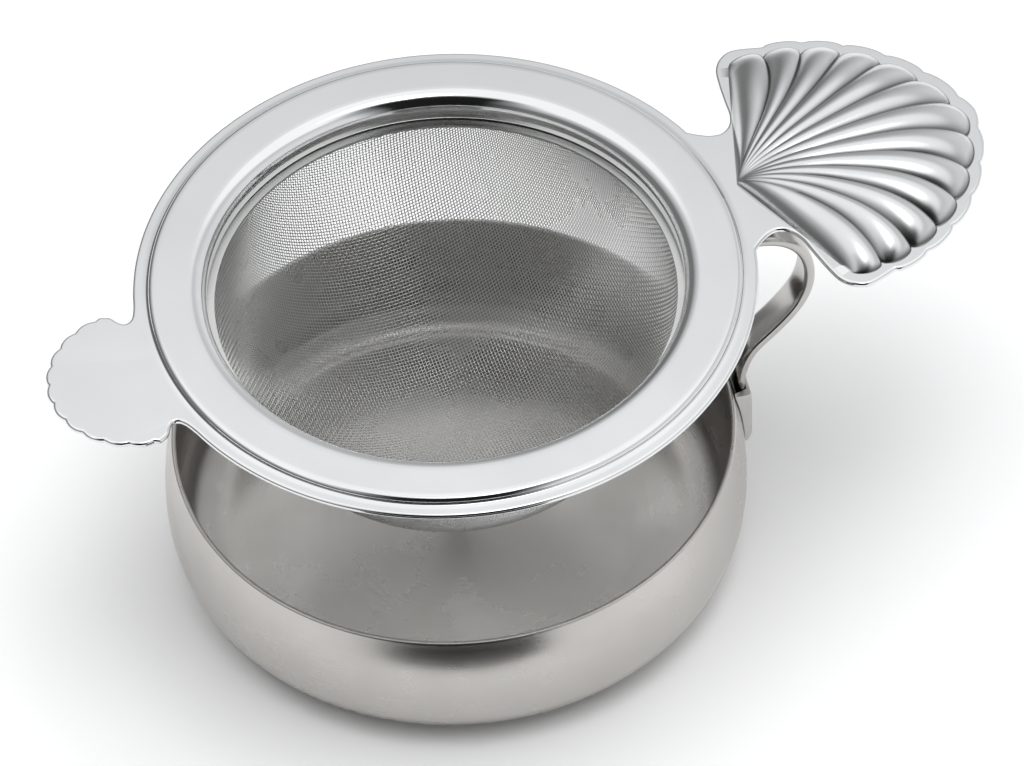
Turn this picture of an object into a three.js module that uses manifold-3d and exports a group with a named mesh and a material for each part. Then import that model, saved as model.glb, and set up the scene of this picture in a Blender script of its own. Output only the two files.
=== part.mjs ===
// Tea strainer on a drip stand, all of stainless steel. Millimetres, +Z up.
// The stand is a drip bowl with an ear-shaped arm that carries a holder ring. The strainer
// drops into that ring: a pressed plate with a scallop-shell handle on one side and a round
// rest tab on the other, and a hemisphere of woven mesh clamped round its collar.
// The origin is the centre of the bowl's flat underside; +X runs towards the shell handle.
import * as THREE from 'three';
import { mergeVertices } from 'three/addons/utils/BufferGeometryUtils.js';
import Module from 'manifold-3d';

const wasm = await Module();
wasm.setup();

// ---- Driving dimensions ----
const TURNS = 48; // facets round every turned piece
const FIXED_GAP = 0.15; // between pieces that are soldered or clamped together
const RUNNING_GAP = 0.5; // round the holder ring, so that the strainer lifts out

const BOWL_HEIGHT = 19;
const BOWL_RIM_RADIUS = 36.1;
const BOWL_BULGE = 1.25; // how far the wall stands out below its rim
const BOWL_BULGE_HEIGHT = 10;
const BOWL_CORNER = 8.35; // from the edge of the flat base out to the wall
const BOWL_CORNER_POWER = 0.8; // below 1 makes the base corner squarer than an ellipse
const BOWL_SHEET = 0.7;

const PLATE_SHEET = 0.8;
const COLLAR_RADIUS = 29.85; // inside of the collar
const COLLAR_DEPTH = 3.6; // from the flat down to the collar's lower edge
const BEAD_ROUND = 2.02; // roll from the flat down into the collar
const FLAT_WIDTH = 7.3; // raised flat, with the bead
const FLAT_RAISE = 0.8; // from the lip up to the flat
const SHOULDER_ROUND = 0.75;
const LIP_WIDTH = 1.85;
const LIP_ABOVE_BOWL = 28.4; // from the bowl's rim to the top of the lip
const LIP_EDGE_ROUND = 0.4;

const MESH_SHEET = 0.4; // two crossing wires
const BASKET_DEPTH = 29.9;
const BASKET_CLEARANCE = 0.35; // how much smaller the basket is than the collar
const MESH_BAND = 1.5; // height of mesh that turns up round the collar
const CLAMP_SHEET = 0.6;
const CLAMP_SETBACK = 0.9; // how far the clamp's lip stays back from the basket

const HOLDER_WIDTH = 2;
const HOLDER_HEIGHT = 1.95;
const HOLDER_CHAMFER = 0.45;

const ARM_TURN = -10; // degrees round Z, from the shell handle to the arm
const ARM_WIDTH = 4.8;
const ARM_THICKNESS = 1.4;
const ARM_STAND_OFF = 7.2; // from the lip out to the middle of the strap where it is widest
const ARM_SHOULDER = 0.3; // how far past the lip the strap stays level
const ARM_WIDEST_DROP = 7.5; // from the strap's level end down to its widest place
const ARM_WAIST = 8; // height above the bowl's rim where the strap bends back to vertical
const ARM_WAIST_SHARE = 0.3; // how far out the waist is, from the tongue to the widest place
const ARM_NECK = 1.2; // straight length above the bowl's rim
const SHOULDER_PULL = 0.62; // fullness of the strap's bends: over the shoulder,
const WIDEST_PULL_UP = 0.6; // above and below its widest place,
const WIDEST_PULL_DOWN = 0.4;
const WAIST_PULL = [0.52, 0.47]; // above the waist, out and up,
const WAIST_PULL_DOWN = [0.25, 0.22]; // below it,
const NECK_PULL = 0.32; // and above the neck
const TONGUE_TAPER = [1, 4]; // heights above the bowl's rim where the strap thins to its tongue
const TONGUE_THICKNESS = 0.9;
const TONGUE_DEPTH = 2.2; // how far the tongue enters the lug

const LUG_WIDTH = 7;
const LUG_SHEET = 0.5;
const LUG_DROP = 8.7; // from the bowl's rim down to the lug's lower end
const LUG_SLOPE = 1; // height of the slope at its lower end
const LUG_TUCK = 2; // how far inside the rim its block starts, before the wall is cut from it

const HANDLE_LENGTH = 33; // from the shell's beak, just outside the lip, to its tip
const HANDLE_BEAK = 0.5; // from the lip out to the beak
const HANDLE_SPREAD = 70; // degrees from the middle of the raised shell to either side
const HANDLE_SIDE_LOSS = 0.297; // how much shorter the shell is at its sides, as a share
const HANDLE_BORDER = 1.6;
const HANDLE_RISE = 3.4; // height of the shell's body above its border
const FLUTE_COUNT = 13;
const FLUTE_RISE = 0.14; // height of a flute as a share of its width
const LOBE_DEPTH = 1.2; // how far the raised shell draws back between two flutes
const EDGE_LOBE_DEPTH = 0.6; // how far the border's outline does

const TAB_OFFSET = 2; // from the lip out to the middle of the rest tab
const TAB_RADIUS = 11.2;
const TAB_SCALLOPS = 22; // round a whole turn; about two thirds of them show
const TAB_SCALLOP_HEIGHT = 0.35;

// ---- Levels and radii that follow from them ----
const BOWL_BULGE_RADIUS = BOWL_RIM_RADIUS + BOWL_BULGE;
const BOWL_BASE_RADIUS = BOWL_BULGE_RADIUS - BOWL_CORNER;
const FLAT_RADIUS = COLLAR_RADIUS + FLAT_WIDTH; // outside of the raised flat
const LIP_RADIUS = FLAT_RADIUS + LIP_WIDTH;
const BASKET_RADIUS = COLLAR_RADIUS - BASKET_CLEARANCE;
const ARM_REACH = Math.max(LIP_RADIUS, BOWL_BULGE_RADIUS) + ARM_STAND_OFF;
const HANDLE_ROOT = LIP_RADIUS + HANDLE_BEAK;
const TAB_CENTRE = LIP_RADIUS + TAB_OFFSET;
const LIP_TOP = BOWL_HEIGHT + LIP_ABOVE_BOWL;
const LIP_UNDERSIDE = LIP_TOP - PLATE_SHEET;
const FLAT_TOP = LIP_TOP + FLAT_RAISE;
const FLAT_UNDERSIDE = FLAT_TOP - PLATE_SHEET;
const RECESS_RADIUS = FLAT_RADIUS - PLATE_SHEET;
const COLLAR_OUTSIDE = COLLAR_RADIUS + PLATE_SHEET;
const COLLAR_FOOT = FLAT_TOP - COLLAR_DEPTH;
const HOLDER_OUTSIDE = RECESS_RADIUS - RUNNING_GAP;
const HOLDER_TOP = FLAT_UNDERSIDE - FIXED_GAP;

// ---- Materials ----
const steel = (color, roughness) => new THREE.MeshStandardMaterial({ color, roughness, metalness: 1 });
const finishes = {
  polished: steel(0xd2d3d4, 0.16),
  satin: steel(0xb4b3af, 0.34),
  strip: steel(0xa9a9a5, 0.24),
  weave: steel(0x9a9a97, 0.5),
};

// ---- Helpers ----
const point = (x, y) => new THREE.Vector2(x, y);

/** Points on a round of the given radius, from one angle to another in degrees. */
function arc(centreX, centreY, radius, from, to, steps) {
  const points = [];
  for (let i = 0; i <= steps; i += 1) {
    const angle = THREE.MathUtils.degToRad(from + ((to - from) * i) / steps);
    points.push(point(centreX + radius * Math.cos(angle), centreY + radius * Math.sin(angle)));
  }
  return points;
}

/** A solid turned about Z from a profile of (radius, height) points. */
function turned(profile, closed) {
  const loop = closed ? [...profile, profile[0].clone()] : profile;
  const geometry = new THREE.LatheGeometry(loop, TURNS);
  geometry.rotateX(Math.PI / 2);
  return facingOut(geometry);
}

/** An outline of (x, y) points raised from one level to another. */
function plateOf(outline, bottom, top) {
  const shape = new THREE.Shape(outline);
  const geometry = new THREE.ExtrudeGeometry(shape, { depth: top - bottom, bevelEnabled: false });
  geometry.translate(0, 0, bottom);
  return geometry;
}

/** The volume inside a closed indexed mesh; it is negative when its faces point in. */
function volumeOf(geometry) {
  const { position } = geometry.attributes;
  const [a, b, c] = [new THREE.Vector3(), new THREE.Vector3(), new THREE.Vector3()];
  let volume = 0;
  for (let i = 0; i < geometry.index.count; i += 3) {
    a.fromBufferAttribute(position, geometry.index.getX(i));
    b.fromBufferAttribute(position, geometry.index.getX(i + 1));
    c.fromBufferAttribute(position, geometry.index.getX(i + 2));
    volume += a.dot(b.cross(c)) / 6;
  }
  return volume;
}

/** The same surface with shared vertices merged and its faces pointing out. */
function facingOut(geometry) {
  geometry.deleteAttribute('normal');
  geometry.deleteAttribute('uv');
  const merged = mergeVertices(geometry, 1e-4);
  const kept = [];
  for (let i = 0; i < merged.index.count; i += 3) {
    const corners = [merged.index.getX(i), merged.index.getX(i + 1), merged.index.getX(i + 2)];
    if (new Set(corners).size === 3) kept.push(...corners);
  }
  merged.setIndex(kept);
  if (volumeOf(merged) < 0) merged.setIndex(kept.reverse());
  return merged;
}

function solid(geometry) {
  const merged = facingOut(geometry);
  return new wasm.Manifold(new wasm.Mesh({
    numProp: 3,
    vertProperties: Float32Array.from(merged.attributes.position.array),
    triVerts: Uint32Array.from(merged.index.array),
  }));
}

function surface(manifold) {
  const mesh = manifold.getMesh();
  const geometry = new THREE.BufferGeometry();
  geometry.setAttribute('position', new THREE.BufferAttribute(mesh.vertProperties, 3));
  geometry.setIndex(new THREE.BufferAttribute(mesh.triVerts, 1));
  return geometry;
}

function named(name, geometry, finish) {
  const shaded = geometry.clone();
  shaded.computeVertexNormals();
  const mesh = new THREE.Mesh(shaded, finish);
  mesh.name = name;
  return mesh;
}

/** The mesh between rows of points: each row closes on itself, and the two ends are capped. */
function loft(rows) {
  const size = rows[0].length;
  const positions = rows.flat().flatMap((p) => [p.x, p.y, p.z]);
  const index = [];
  for (let row = 0; row + 1 < rows.length; row += 1) {
    for (let i = 0; i < size; i += 1) {
      const here = row * size + i;
      const beside = row * size + ((i + 1) % size);
      index.push(here, beside, here + size);
      index.push(beside, beside + size, here + size);
    }
  }
  const last = (rows.length - 1) * size;
  for (let i = 1; i + 1 < size; i += 1) {
    index.push(0, i + 1, i);
    index.push(last, last + i, last + i + 1);
  }
  const geometry = new THREE.BufferGeometry();
  geometry.setAttribute('position', new THREE.Float32BufferAttribute(positions, 3));
  geometry.setIndex(index);
  return geometry;
}

/** A sheet of one thickness under rows of points: its upper face, its underside and its edges. */
function sheetUnder(rows, thickness) {
  const across = rows[0].length;
  const upper = rows.flat();
  const lower = upper.map((p) => new THREE.Vector3(p.x, p.y, p.z - thickness));
  const under = upper.length;
  const index = [];
  for (let row = 0; row + 1 < rows.length; row += 1) {
    for (let i = 0; i + 1 < across; i += 1) {
      const here = row * across + i;
      const ahead = here + across;
      index.push(here, ahead, here + 1, here + 1, ahead, ahead + 1);
      index.push(under + here, under + here + 1, under + ahead);
      index.push(under + here + 1, under + ahead + 1, under + ahead);
    }
  }
  const last = (rows.length - 1) * across;
  const edge = [];
  for (let i = 0; i < across; i += 1) edge.push(i);
  for (let row = 1; row < rows.length; row += 1) edge.push(row * across + across - 1);
  for (let i = across - 2; i >= 0; i -= 1) edge.push(last + i);
  for (let row = rows.length - 2; row > 0; row -= 1) edge.push(row * across);
  edge.forEach((here, i) => {
    const next = edge[(i + 1) % edge.length];
    index.push(here, next, under + here, next, under + next, under + here);
  });
  const geometry = new THREE.BufferGeometry();
  const positions = [...upper, ...lower].flatMap((p) => [p.x, p.y, p.z]);
  geometry.setAttribute('position', new THREE.Float32BufferAttribute(positions, 3));
  geometry.setIndex(index);
  return geometry;
}

// ---- Stand: drip bowl ----

/** The outside of the bowl's wall from the middle of its base up to its rim, offset outwards. */
function bowlWall(offset) {
  const points = [point(0, -offset)];
  const corner = BOWL_BULGE_RADIUS - BOWL_BASE_RADIUS;
  const cornerSteps = 6;
  for (let i = 0; i <= cornerSteps; i += 1) {
    const angle = (Math.PI / 2) * (i / cornerSteps);
    const out = Math.sin(angle) ** BOWL_CORNER_POWER;
    const up = 1 - Math.cos(angle) ** BOWL_CORNER_POWER;
    const radius = BOWL_BASE_RADIUS + corner * out + offset * Math.sin(angle);
    points.push(point(radius, (BOWL_BULGE_HEIGHT + offset) * up - offset));
  }
  const wallSteps = 4;
  for (let i = 1; i <= wallSteps; i += 1) {
    const share = i / wallSteps;
    const radius = BOWL_BULGE_RADIUS - (BOWL_BULGE_RADIUS - BOWL_RIM_RADIUS) * share ** 2;
    points.push(point(radius + offset, THREE.MathUtils.lerp(BOWL_BULGE_HEIGHT, BOWL_HEIGHT, share)));
  }
  return points;
}

function dripBowl() {
  const outside = bowlWall(0);
  const inside = bowlWall(-BOWL_SHEET).reverse();
  const rim = point(BOWL_RIM_RADIUS - BOWL_SHEET / 2, BOWL_HEIGHT + BOWL_SHEET / 4);
  return turned([...outside, rim, ...inside], false);
}

// ---- Stand: ear-shaped arm ----

const TONGUE_MIDDLE = bowlWallAt(BOWL_HEIGHT - TONGUE_DEPTH) + FIXED_GAP + TONGUE_THICKNESS / 2;

/** The bowl's outside radius at a height above its bulge. */
function bowlWallAt(height) {
  const share = (height - BOWL_BULGE_HEIGHT) / (BOWL_HEIGHT - BOWL_BULGE_HEIGHT);
  return BOWL_BULGE_RADIUS - (BOWL_BULGE_RADIUS - BOWL_RIM_RADIUS) * share ** 2;
}

/** The strap's middle line in its own upright plane, as (distance from the axis, height). */
function armLine() {
  const top = LIP_UNDERSIDE - FIXED_GAP - ARM_THICKNESS / 2;
  const start = point(HOLDER_OUTSIDE + FIXED_GAP, top);
  const shoulder = point(LIP_RADIUS + ARM_SHOULDER, top);
  const bulge = ARM_REACH - shoulder.x;
  const widest = point(ARM_REACH, top - ARM_WIDEST_DROP);
  const waistOut = THREE.MathUtils.lerp(TONGUE_MIDDLE, ARM_REACH, ARM_WAIST_SHARE);
  const waist = point(waistOut, BOWL_HEIGHT + ARM_WAIST);
  const neck = point(TONGUE_MIDDLE, BOWL_HEIGHT + ARM_NECK);
  const foot = point(TONGUE_MIDDLE, BOWL_HEIGHT - TONGUE_DEPTH);
  const overShoulder = point(shoulder.x + bulge * SHOULDER_PULL, top);
  const aboveWidest = point(ARM_REACH, widest.y + ARM_WIDEST_DROP * WIDEST_PULL_UP);
  const belowDrop = THREE.MathUtils.lerp(widest.y, waist.y, WIDEST_PULL_DOWN);
  const belowWidest = point(ARM_REACH, belowDrop);
  const [outAbove, upAbove] = WAIST_PULL;
  const [inBelow, downBelow] = WAIST_PULL_DOWN;
  const aboveWaist = point(waist.x + bulge * outAbove, waist.y + ARM_WAIST * upAbove);
  const belowWaist = point(waist.x - bulge * inBelow, waist.y - ARM_WAIST * downBelow);
  const aboveNeck = point(neck.x, neck.y + ARM_WAIST * NECK_PULL);
  const line = new THREE.CurvePath();
  line.add(new THREE.LineCurve(start, shoulder));
  line.add(new THREE.CubicBezierCurve(shoulder, overShoulder, aboveWidest, widest));
  line.add(new THREE.CubicBezierCurve(widest, belowWidest, aboveWaist, waist));
  line.add(new THREE.CubicBezierCurve(waist, belowWaist, aboveNeck, neck));
  line.add(new THREE.LineCurve(neck, foot));
  return line;
}

/** A flat section with round edges, across the strap's line. */
function strapSection(thickness) {
  const corners = [];
  const round = thickness / 2;
  const reach = ARM_WIDTH / 2 - round;
  corners.push(...arc(0, reach, round, 0, 180, 4));
  corners.push(...arc(0, -reach, round, 180, 360, 4));
  return corners;
}

function earArm() {
  const line = armLine();
  const stations = 44;
  const [thinFrom, thickFrom] = TONGUE_TAPER.map((above) => BOWL_HEIGHT + above);
  const rows = [];
  for (let i = 0; i <= stations; i += 1) {
    const middle = line.getPointAt(i / stations);
    const along = line.getTangentAt(i / stations);
    const thick = THREE.MathUtils.smoothstep(middle.y, thinFrom, thickFrom);
    const thickness = THREE.MathUtils.lerp(TONGUE_THICKNESS, ARM_THICKNESS, thick);
    rows.push(strapSection(thickness).map((corner) => new THREE.Vector3(
      middle.x - along.y * corner.x,
      corner.y,
      middle.y + along.x * corner.x,
    )));
  }
  return facingOut(loft(rows));
}

// ---- Stand: socket lug on the bowl's wall ----

function socketLug() {
  const pocketFront = TONGUE_MIDDLE + TONGUE_THICKNESS / 2 + FIXED_GAP;
  const front = pocketFront + LUG_SHEET;
  const foot = BOWL_HEIGHT - LUG_DROP;
  const behind = BOWL_RIM_RADIUS - LUG_TUCK;
  const side = [
    point(behind, foot),
    point(front - LUG_SHEET, foot),
    point(front, foot + LUG_SLOPE),
    point(front, BOWL_HEIGHT),
    point(behind, BOWL_HEIGHT),
  ];
  const block = new THREE.ExtrudeGeometry(new THREE.Shape(side), { depth: LUG_WIDTH, bevelEnabled: false });
  block.translate(0, 0, -LUG_WIDTH / 2);
  block.rotateX(Math.PI / 2);
  const pocketWidth = ARM_WIDTH + 2 * FIXED_GAP;
  const pocketFloor = BOWL_HEIGHT - TONGUE_DEPTH - FIXED_GAP;
  const pocketHeight = 2 * (BOWL_HEIGHT - pocketFloor);
  const pocket = new THREE.BoxGeometry(pocketFront - behind, pocketWidth, pocketHeight);
  pocket.translate((pocketFront + behind) / 2, 0, BOWL_HEIGHT);
  const wall = bowlWall(FIXED_GAP);
  const above = point(wall.at(-1).x, BOWL_HEIGHT + 1);
  const bowl = turned([...wall, above, point(0, above.y)], false);
  bowl.rotateZ(-THREE.MathUtils.degToRad(ARM_TURN));
  return surface(solid(block).subtract(solid(pocket)).subtract(solid(bowl)));
}

// ---- Stand: holder ring ----

function holderRing() {
  const bottom = HOLDER_TOP - HOLDER_HEIGHT;
  const inside = HOLDER_OUTSIDE - HOLDER_WIDTH;
  return turned([
    point(inside + HOLDER_CHAMFER, bottom),
    point(HOLDER_OUTSIDE - HOLDER_CHAMFER, bottom),
    point(HOLDER_OUTSIDE, bottom + HOLDER_CHAMFER),
    point(HOLDER_OUTSIDE, HOLDER_TOP - HOLDER_CHAMFER),
    point(HOLDER_OUTSIDE - HOLDER_CHAMFER, HOLDER_TOP),
    point(inside + HOLDER_CHAMFER, HOLDER_TOP),
    point(inside, HOLDER_TOP - HOLDER_CHAMFER),
    point(inside, bottom + HOLDER_CHAMFER),
  ], true);
}

// ---- Strainer: rim plate with the shell handle and the rest tab ----

function plateRing() {
  const beadCentre = COLLAR_RADIUS + BEAD_ROUND;
  const beadLevel = FLAT_TOP - BEAD_ROUND;
  const shoulderCentre = FLAT_RADIUS - SHOULDER_ROUND;
  const edgeCentre = LIP_RADIUS - LIP_EDGE_ROUND;
  return turned([
    point(COLLAR_OUTSIDE, COLLAR_FOOT),
    ...arc(beadCentre, beadLevel, BEAD_ROUND - PLATE_SHEET, 180, 90, 4),
    point(RECESS_RADIUS, FLAT_UNDERSIDE),
    point(RECESS_RADIUS, LIP_UNDERSIDE),
    point(edgeCentre, LIP_UNDERSIDE),
    ...arc(edgeCentre, LIP_TOP - LIP_EDGE_ROUND, LIP_EDGE_ROUND, 0, 90, 3),
    point(FLAT_RADIUS, LIP_TOP),
    ...arc(shoulderCentre, FLAT_TOP - SHOULDER_ROUND, SHOULDER_ROUND, 0, 90, 3),
    ...arc(beadCentre, beadLevel, BEAD_ROUND, 90, 180, 6),
    point(COLLAR_RADIUS, COLLAR_FOOT),
  ], true);
}

const SHELL_LAP = 0.45; // how far the raised shell's sheet runs into its flat border
const SHELL_OPENING = 0.97; // share of the shell's width left open in the flat sheet
const LOBE_POWER = 0.65; // below 1 makes the notches between lobes sharp
const SIDE_LOSS_POWER = 1.25;
const RISE_ALONG = [2.8, 0.6]; // how square the shell's hump is from beak to tip
const RISE_ACROSS = [3, 0.7]; // and from side to side
const SCALLOP_POWER = 0.7;
const KEEP_CLEAR_HEIGHT = 20 * PLATE_SHEET;

// One side of the handle, from the lip round the notch and the corner, as shares of its length.
const HANDLE_SIDE = [
  [-0.064, 0.333], [-0.03, 0.306], [0.012, 0.282], [0.055, 0.277], [0.094, 0.303], [0.118, 0.352],
  [0.13, 0.43], [0.145, 0.521], [0.165, 0.597], [0.206, 0.647], [0.268, 0.667], [0.33, 0.658],
];

/** How far the edge draws back at a place across the shell: 0 on a flute, 1 between two. */
function betweenFlutes(across) {
  const place = ((across + 1) / 2) * FLUTE_COUNT;
  return 1 - Math.abs(Math.sin(Math.PI * place)) ** LOBE_POWER;
}

/** How far the shell reaches from its beak, edge drawn back by the depth, from -1 to 1 across. */
function shellReach(across, lobeDepth) {
  const loss = HANDLE_SIDE_LOSS * Math.abs(across) ** SIDE_LOSS_POWER;
  return HANDLE_LENGTH * (1 - loss) - lobeDepth * betweenFlutes(across);
}

/** How high the raised shell stands over its border, at a share of its reach and across it. */
function shellRise(share, across) {
  const lengthwise = (1 - Math.abs(2 * share - 1) ** RISE_ALONG[0]) ** RISE_ALONG[1];
  const crosswise = (1 - Math.abs(across) ** RISE_ACROSS[0]) ** RISE_ACROSS[1];
  const place = ((across + 1) / 2) * FLUTE_COUNT;
  const onFlute = 1 - (2 * (place - Math.floor(place)) - 1) ** 2;
  const reach = shellReach(across, 0);
  const width = (share * reach * 2 * THREE.MathUtils.degToRad(HANDLE_SPREAD)) / FLUTE_COUNT;
  return (HANDLE_RISE * crosswise + FLUTE_RISE * width * onFlute) * lengthwise;
}

/** A place on the shell, at a distance from its beak and from -1 to 1 across it. */
function onShell(distance, across) {
  const angle = THREE.MathUtils.degToRad(HANDLE_SPREAD) * across;
  return point(HANDLE_ROOT + distance * Math.cos(angle), distance * Math.sin(angle));
}

/** The raised shell as a sheet, from its beak to the foot of its flutes. */
function raisedShell() {
  const columns = FLUTE_COUNT * 4;
  const shares = [0.015, 0.05, 0.12, 0.22, 0.34, 0.48, 0.62, 0.76, 0.87, 0.94, 0.98, 1];
  const rows = shares.map((share) => {
    const row = [];
    for (let i = 0; i <= columns; i += 1) {
      const across = (2 * i) / columns - 1;
      const reach = shellReach(across, LOBE_DEPTH) - HANDLE_BORDER;
      const place = onShell(share * reach, across);
      row.push(new THREE.Vector3(place.x, place.y, LIP_TOP + shellRise(share, across)));
    }
    return row;
  });
  return sheetUnder(rows, PLATE_SHEET);
}

/** What the flat sheet leaves open under the raised shell, a little smaller than its foot. */
function underShell() {
  const outline = [onShell(SHELL_LAP, 0)];
  const columns = FLUTE_COUNT * 4;
  for (let i = 0; i <= columns; i += 1) {
    const across = SHELL_OPENING * ((2 * i) / columns - 1);
    const reach = shellReach(across, LOBE_DEPTH) - HANDLE_BORDER;
    outline.push(onShell(reach - SHELL_LAP, across));
  }
  return plateOf(outline, LIP_UNDERSIDE - PLATE_SHEET, LIP_TOP + PLATE_SHEET);
}

/** The shell's flat border and its neck, out of the lip, round a notch and a corner, to the tip. */
function handlePlate() {
  const inner = FLAT_RADIUS - PLATE_SHEET / 2;
  const side = HANDLE_SIDE.map(([along, out]) => point(
    HANDLE_ROOT + along * HANDLE_LENGTH,
    out * HANDLE_LENGTH,
  ));
  const neck = side[0].y;
  const start = point(Math.sqrt(inner ** 2 - neck ** 2), neck);
  const edge = [];
  const steps = (FLUTE_COUNT - 2) * 6;
  const firstFlute = 1 - 2 / FLUTE_COUNT;
  for (let i = 0; i <= steps; i += 1) {
    const across = firstFlute * (1 - (2 * i) / steps);
    edge.push(onShell(shellReach(across, EDGE_LOBE_DEPTH), across));
  }
  const mirrored = [start, ...side].map((p) => point(p.x, -p.y)).reverse();
  const back = THREE.MathUtils.radToDeg(Math.asin(neck / inner));
  const inside = arc(0, 0, inner, -back, back, 6).slice(1, -1);
  return plateOf([start, ...side, ...edge, ...mirrored, ...inside], LIP_UNDERSIDE, LIP_TOP);
}

function restTab() {
  const points = [];
  const steps = TAB_SCALLOPS * 4;
  for (let i = 0; i < steps; i += 1) {
    const angle = (2 * Math.PI * i) / steps;
    const scallop = Math.abs(Math.sin((angle * TAB_SCALLOPS) / 2)) ** SCALLOP_POWER;
    const radius = TAB_RADIUS - TAB_SCALLOP_HEIGHT * (1 - scallop);
    points.push(point(-TAB_CENTRE + radius * Math.cos(angle), radius * Math.sin(angle)));
  }
  return plateOf(points, LIP_UNDERSIDE, LIP_TOP);
}

/** What the handle and the tab keep clear of: the raised flat and all inside it. */
function insideOfStep() {
  const radius = RECESS_RADIUS + PLATE_SHEET / 4;
  const geometry = new THREE.CylinderGeometry(radius, radius, KEEP_CLEAR_HEIGHT, TURNS);
  geometry.rotateX(Math.PI / 2);
  geometry.rotateZ(Math.PI / 2);
  geometry.translate(0, 0, LIP_TOP);
  return geometry;
}

function rimPlate() {
  const handle = solid(handlePlate()).subtract(solid(underShell())).add(solid(raisedShell()));
  const arms = solid(restTab()).add(handle);
  return surface(arms.subtract(solid(insideOfStep())).add(solid(plateRing())));
}

// ---- Strainer: woven basket and its clamp ring ----

const BAND_INSIDE = COLLAR_OUTSIDE + FIXED_GAP;
const BAND_OUTSIDE = BAND_INSIDE + MESH_SHEET;
const TUCK_TOP = COLLAR_FOOT - FIXED_GAP; // where the mesh passes under the collar's foot

function meshBasket() {
  const outside = [];
  const inside = [];
  const steps = 9;
  for (let i = 0; i <= steps; i += 1) {
    const angle = (Math.PI / 2) * (1 - i / steps);
    const low = TUCK_TOP - MESH_SHEET - BASKET_DEPTH * Math.sin(angle);
    outside.push(point(BASKET_RADIUS * Math.cos(angle), low));
    const inner = BASKET_RADIUS - MESH_SHEET;
    const deep = (BASKET_DEPTH - MESH_SHEET) * Math.sin(angle);
    inside.push(point(inner * Math.cos(angle), TUCK_TOP - MESH_SHEET - deep));
  }
  outside[0].x = 0;
  inside[0].x = 0;
  inside.at(-1).y = TUCK_TOP;
  return turned([
    ...outside,
    point(BAND_OUTSIDE, TUCK_TOP - MESH_SHEET),
    point(BAND_OUTSIDE, TUCK_TOP + MESH_BAND),
    point(BAND_INSIDE, TUCK_TOP + MESH_BAND),
    point(BAND_INSIDE, TUCK_TOP),
    ...inside.reverse(),
  ], false);
}

function clampRing() {
  const inside = BAND_OUTSIDE + FIXED_GAP;
  const outside = inside + CLAMP_SHEET;
  const shelf = TUCK_TOP - MESH_SHEET - FIXED_GAP;
  const lipInside = BASKET_RADIUS + CLAMP_SETBACK;
  return turned([
    point(lipInside, shelf),
    point(lipInside, shelf - CLAMP_SHEET),
    point(outside - CLAMP_SHEET / 2, shelf - CLAMP_SHEET),
    point(outside, shelf - CLAMP_SHEET / 2),
    point(outside, TUCK_TOP + MESH_BAND),
    point(inside, TUCK_TOP + MESH_BAND),
    point(inside, shelf),
  ], true);
}

// ---- Assembly ----

function stand() {
  const arm = new THREE.Group();
  arm.rotation.z = THREE.MathUtils.degToRad(ARM_TURN);
  arm.add(named('ear_arm', earArm(), finishes.strip));
  arm.add(named('socket_lug', socketLug(), finishes.satin));
  const group = new THREE.Group();
  group.add(named('drip_bowl', dripBowl(), finishes.satin));
  group.add(named('holder_ring', holderRing(), finishes.strip));
  group.add(arm);
  return group;
}

function strainer() {
  const group = new THREE.Group();
  group.add(named('rim_plate', rimPlate(), finishes.polished));
  group.add(named('mesh_basket', meshBasket(), finishes.weave));
  group.add(named('clamp_ring', clampRing(), finishes.satin));
  return group;
}

const teaStrainer = new THREE.Group();
teaStrainer.add(stand());
teaStrainer.add(strainer());

export default teaStrainer;
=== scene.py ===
"""A tea strainer on its drip stand, all of stainless steel, dressed for a studio picture.

The stand is a spun drip bowl with a socket lug, an ear-shaped strap arm and a holder ring.
The strainer lies in that ring: a pressed rim plate with a shell handle and a rest tab, and a
draped wire basket held by a clamp ring. Lengths in the classes are millimetres.
"""

import logging
import math
from collections.abc import Sequence
from dataclasses import dataclass, field
from enum import Enum

import bmesh
import bpy
from mathutils import Matrix, Vector
from mathutils.geometry import delaunay_2d_cdt


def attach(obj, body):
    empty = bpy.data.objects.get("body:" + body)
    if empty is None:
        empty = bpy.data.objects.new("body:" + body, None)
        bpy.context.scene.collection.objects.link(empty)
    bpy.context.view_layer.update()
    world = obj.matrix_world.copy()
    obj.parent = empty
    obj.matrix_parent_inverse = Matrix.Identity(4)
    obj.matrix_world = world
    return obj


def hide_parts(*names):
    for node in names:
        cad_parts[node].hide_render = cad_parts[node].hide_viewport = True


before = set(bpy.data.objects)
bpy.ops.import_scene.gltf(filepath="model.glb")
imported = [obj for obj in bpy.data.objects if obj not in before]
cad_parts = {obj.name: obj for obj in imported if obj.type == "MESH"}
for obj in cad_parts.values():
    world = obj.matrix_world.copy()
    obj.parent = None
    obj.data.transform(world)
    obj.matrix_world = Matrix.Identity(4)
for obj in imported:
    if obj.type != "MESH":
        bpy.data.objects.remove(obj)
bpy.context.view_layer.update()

LOG = logging.getLogger("tea_strainer")
MM = 0.001
PER_METRE = 1000.0  # millimetres, for patterns that are laid by the millimetre
WELD = 1e-4  # points nearer than this many millimetres become one
SHORTEST = 1e-5  # edges shorter than this are taken out
LEAST_COSINE = 0.6  # at an outline's corner, so that a sharp one is not thrown far in
KNOT_STEPS = 6  # chords between two knots of a smooth outline
SATIN_AND_SHADE = "satin_and_shade"  # attribute: painted shade, from 0 to 1, deepest where a point lies in a groove or near the shell's foot
SATIN_AND_FAINT_SHADE = 0.13  # its least value on the shell, which is duller than the ring: a rougher satin, and a faint painted shade all over

Point2 = tuple[float, float]
Point3 = tuple[float, float, float]


# ---------------------------------------------------------------- shapes


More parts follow.
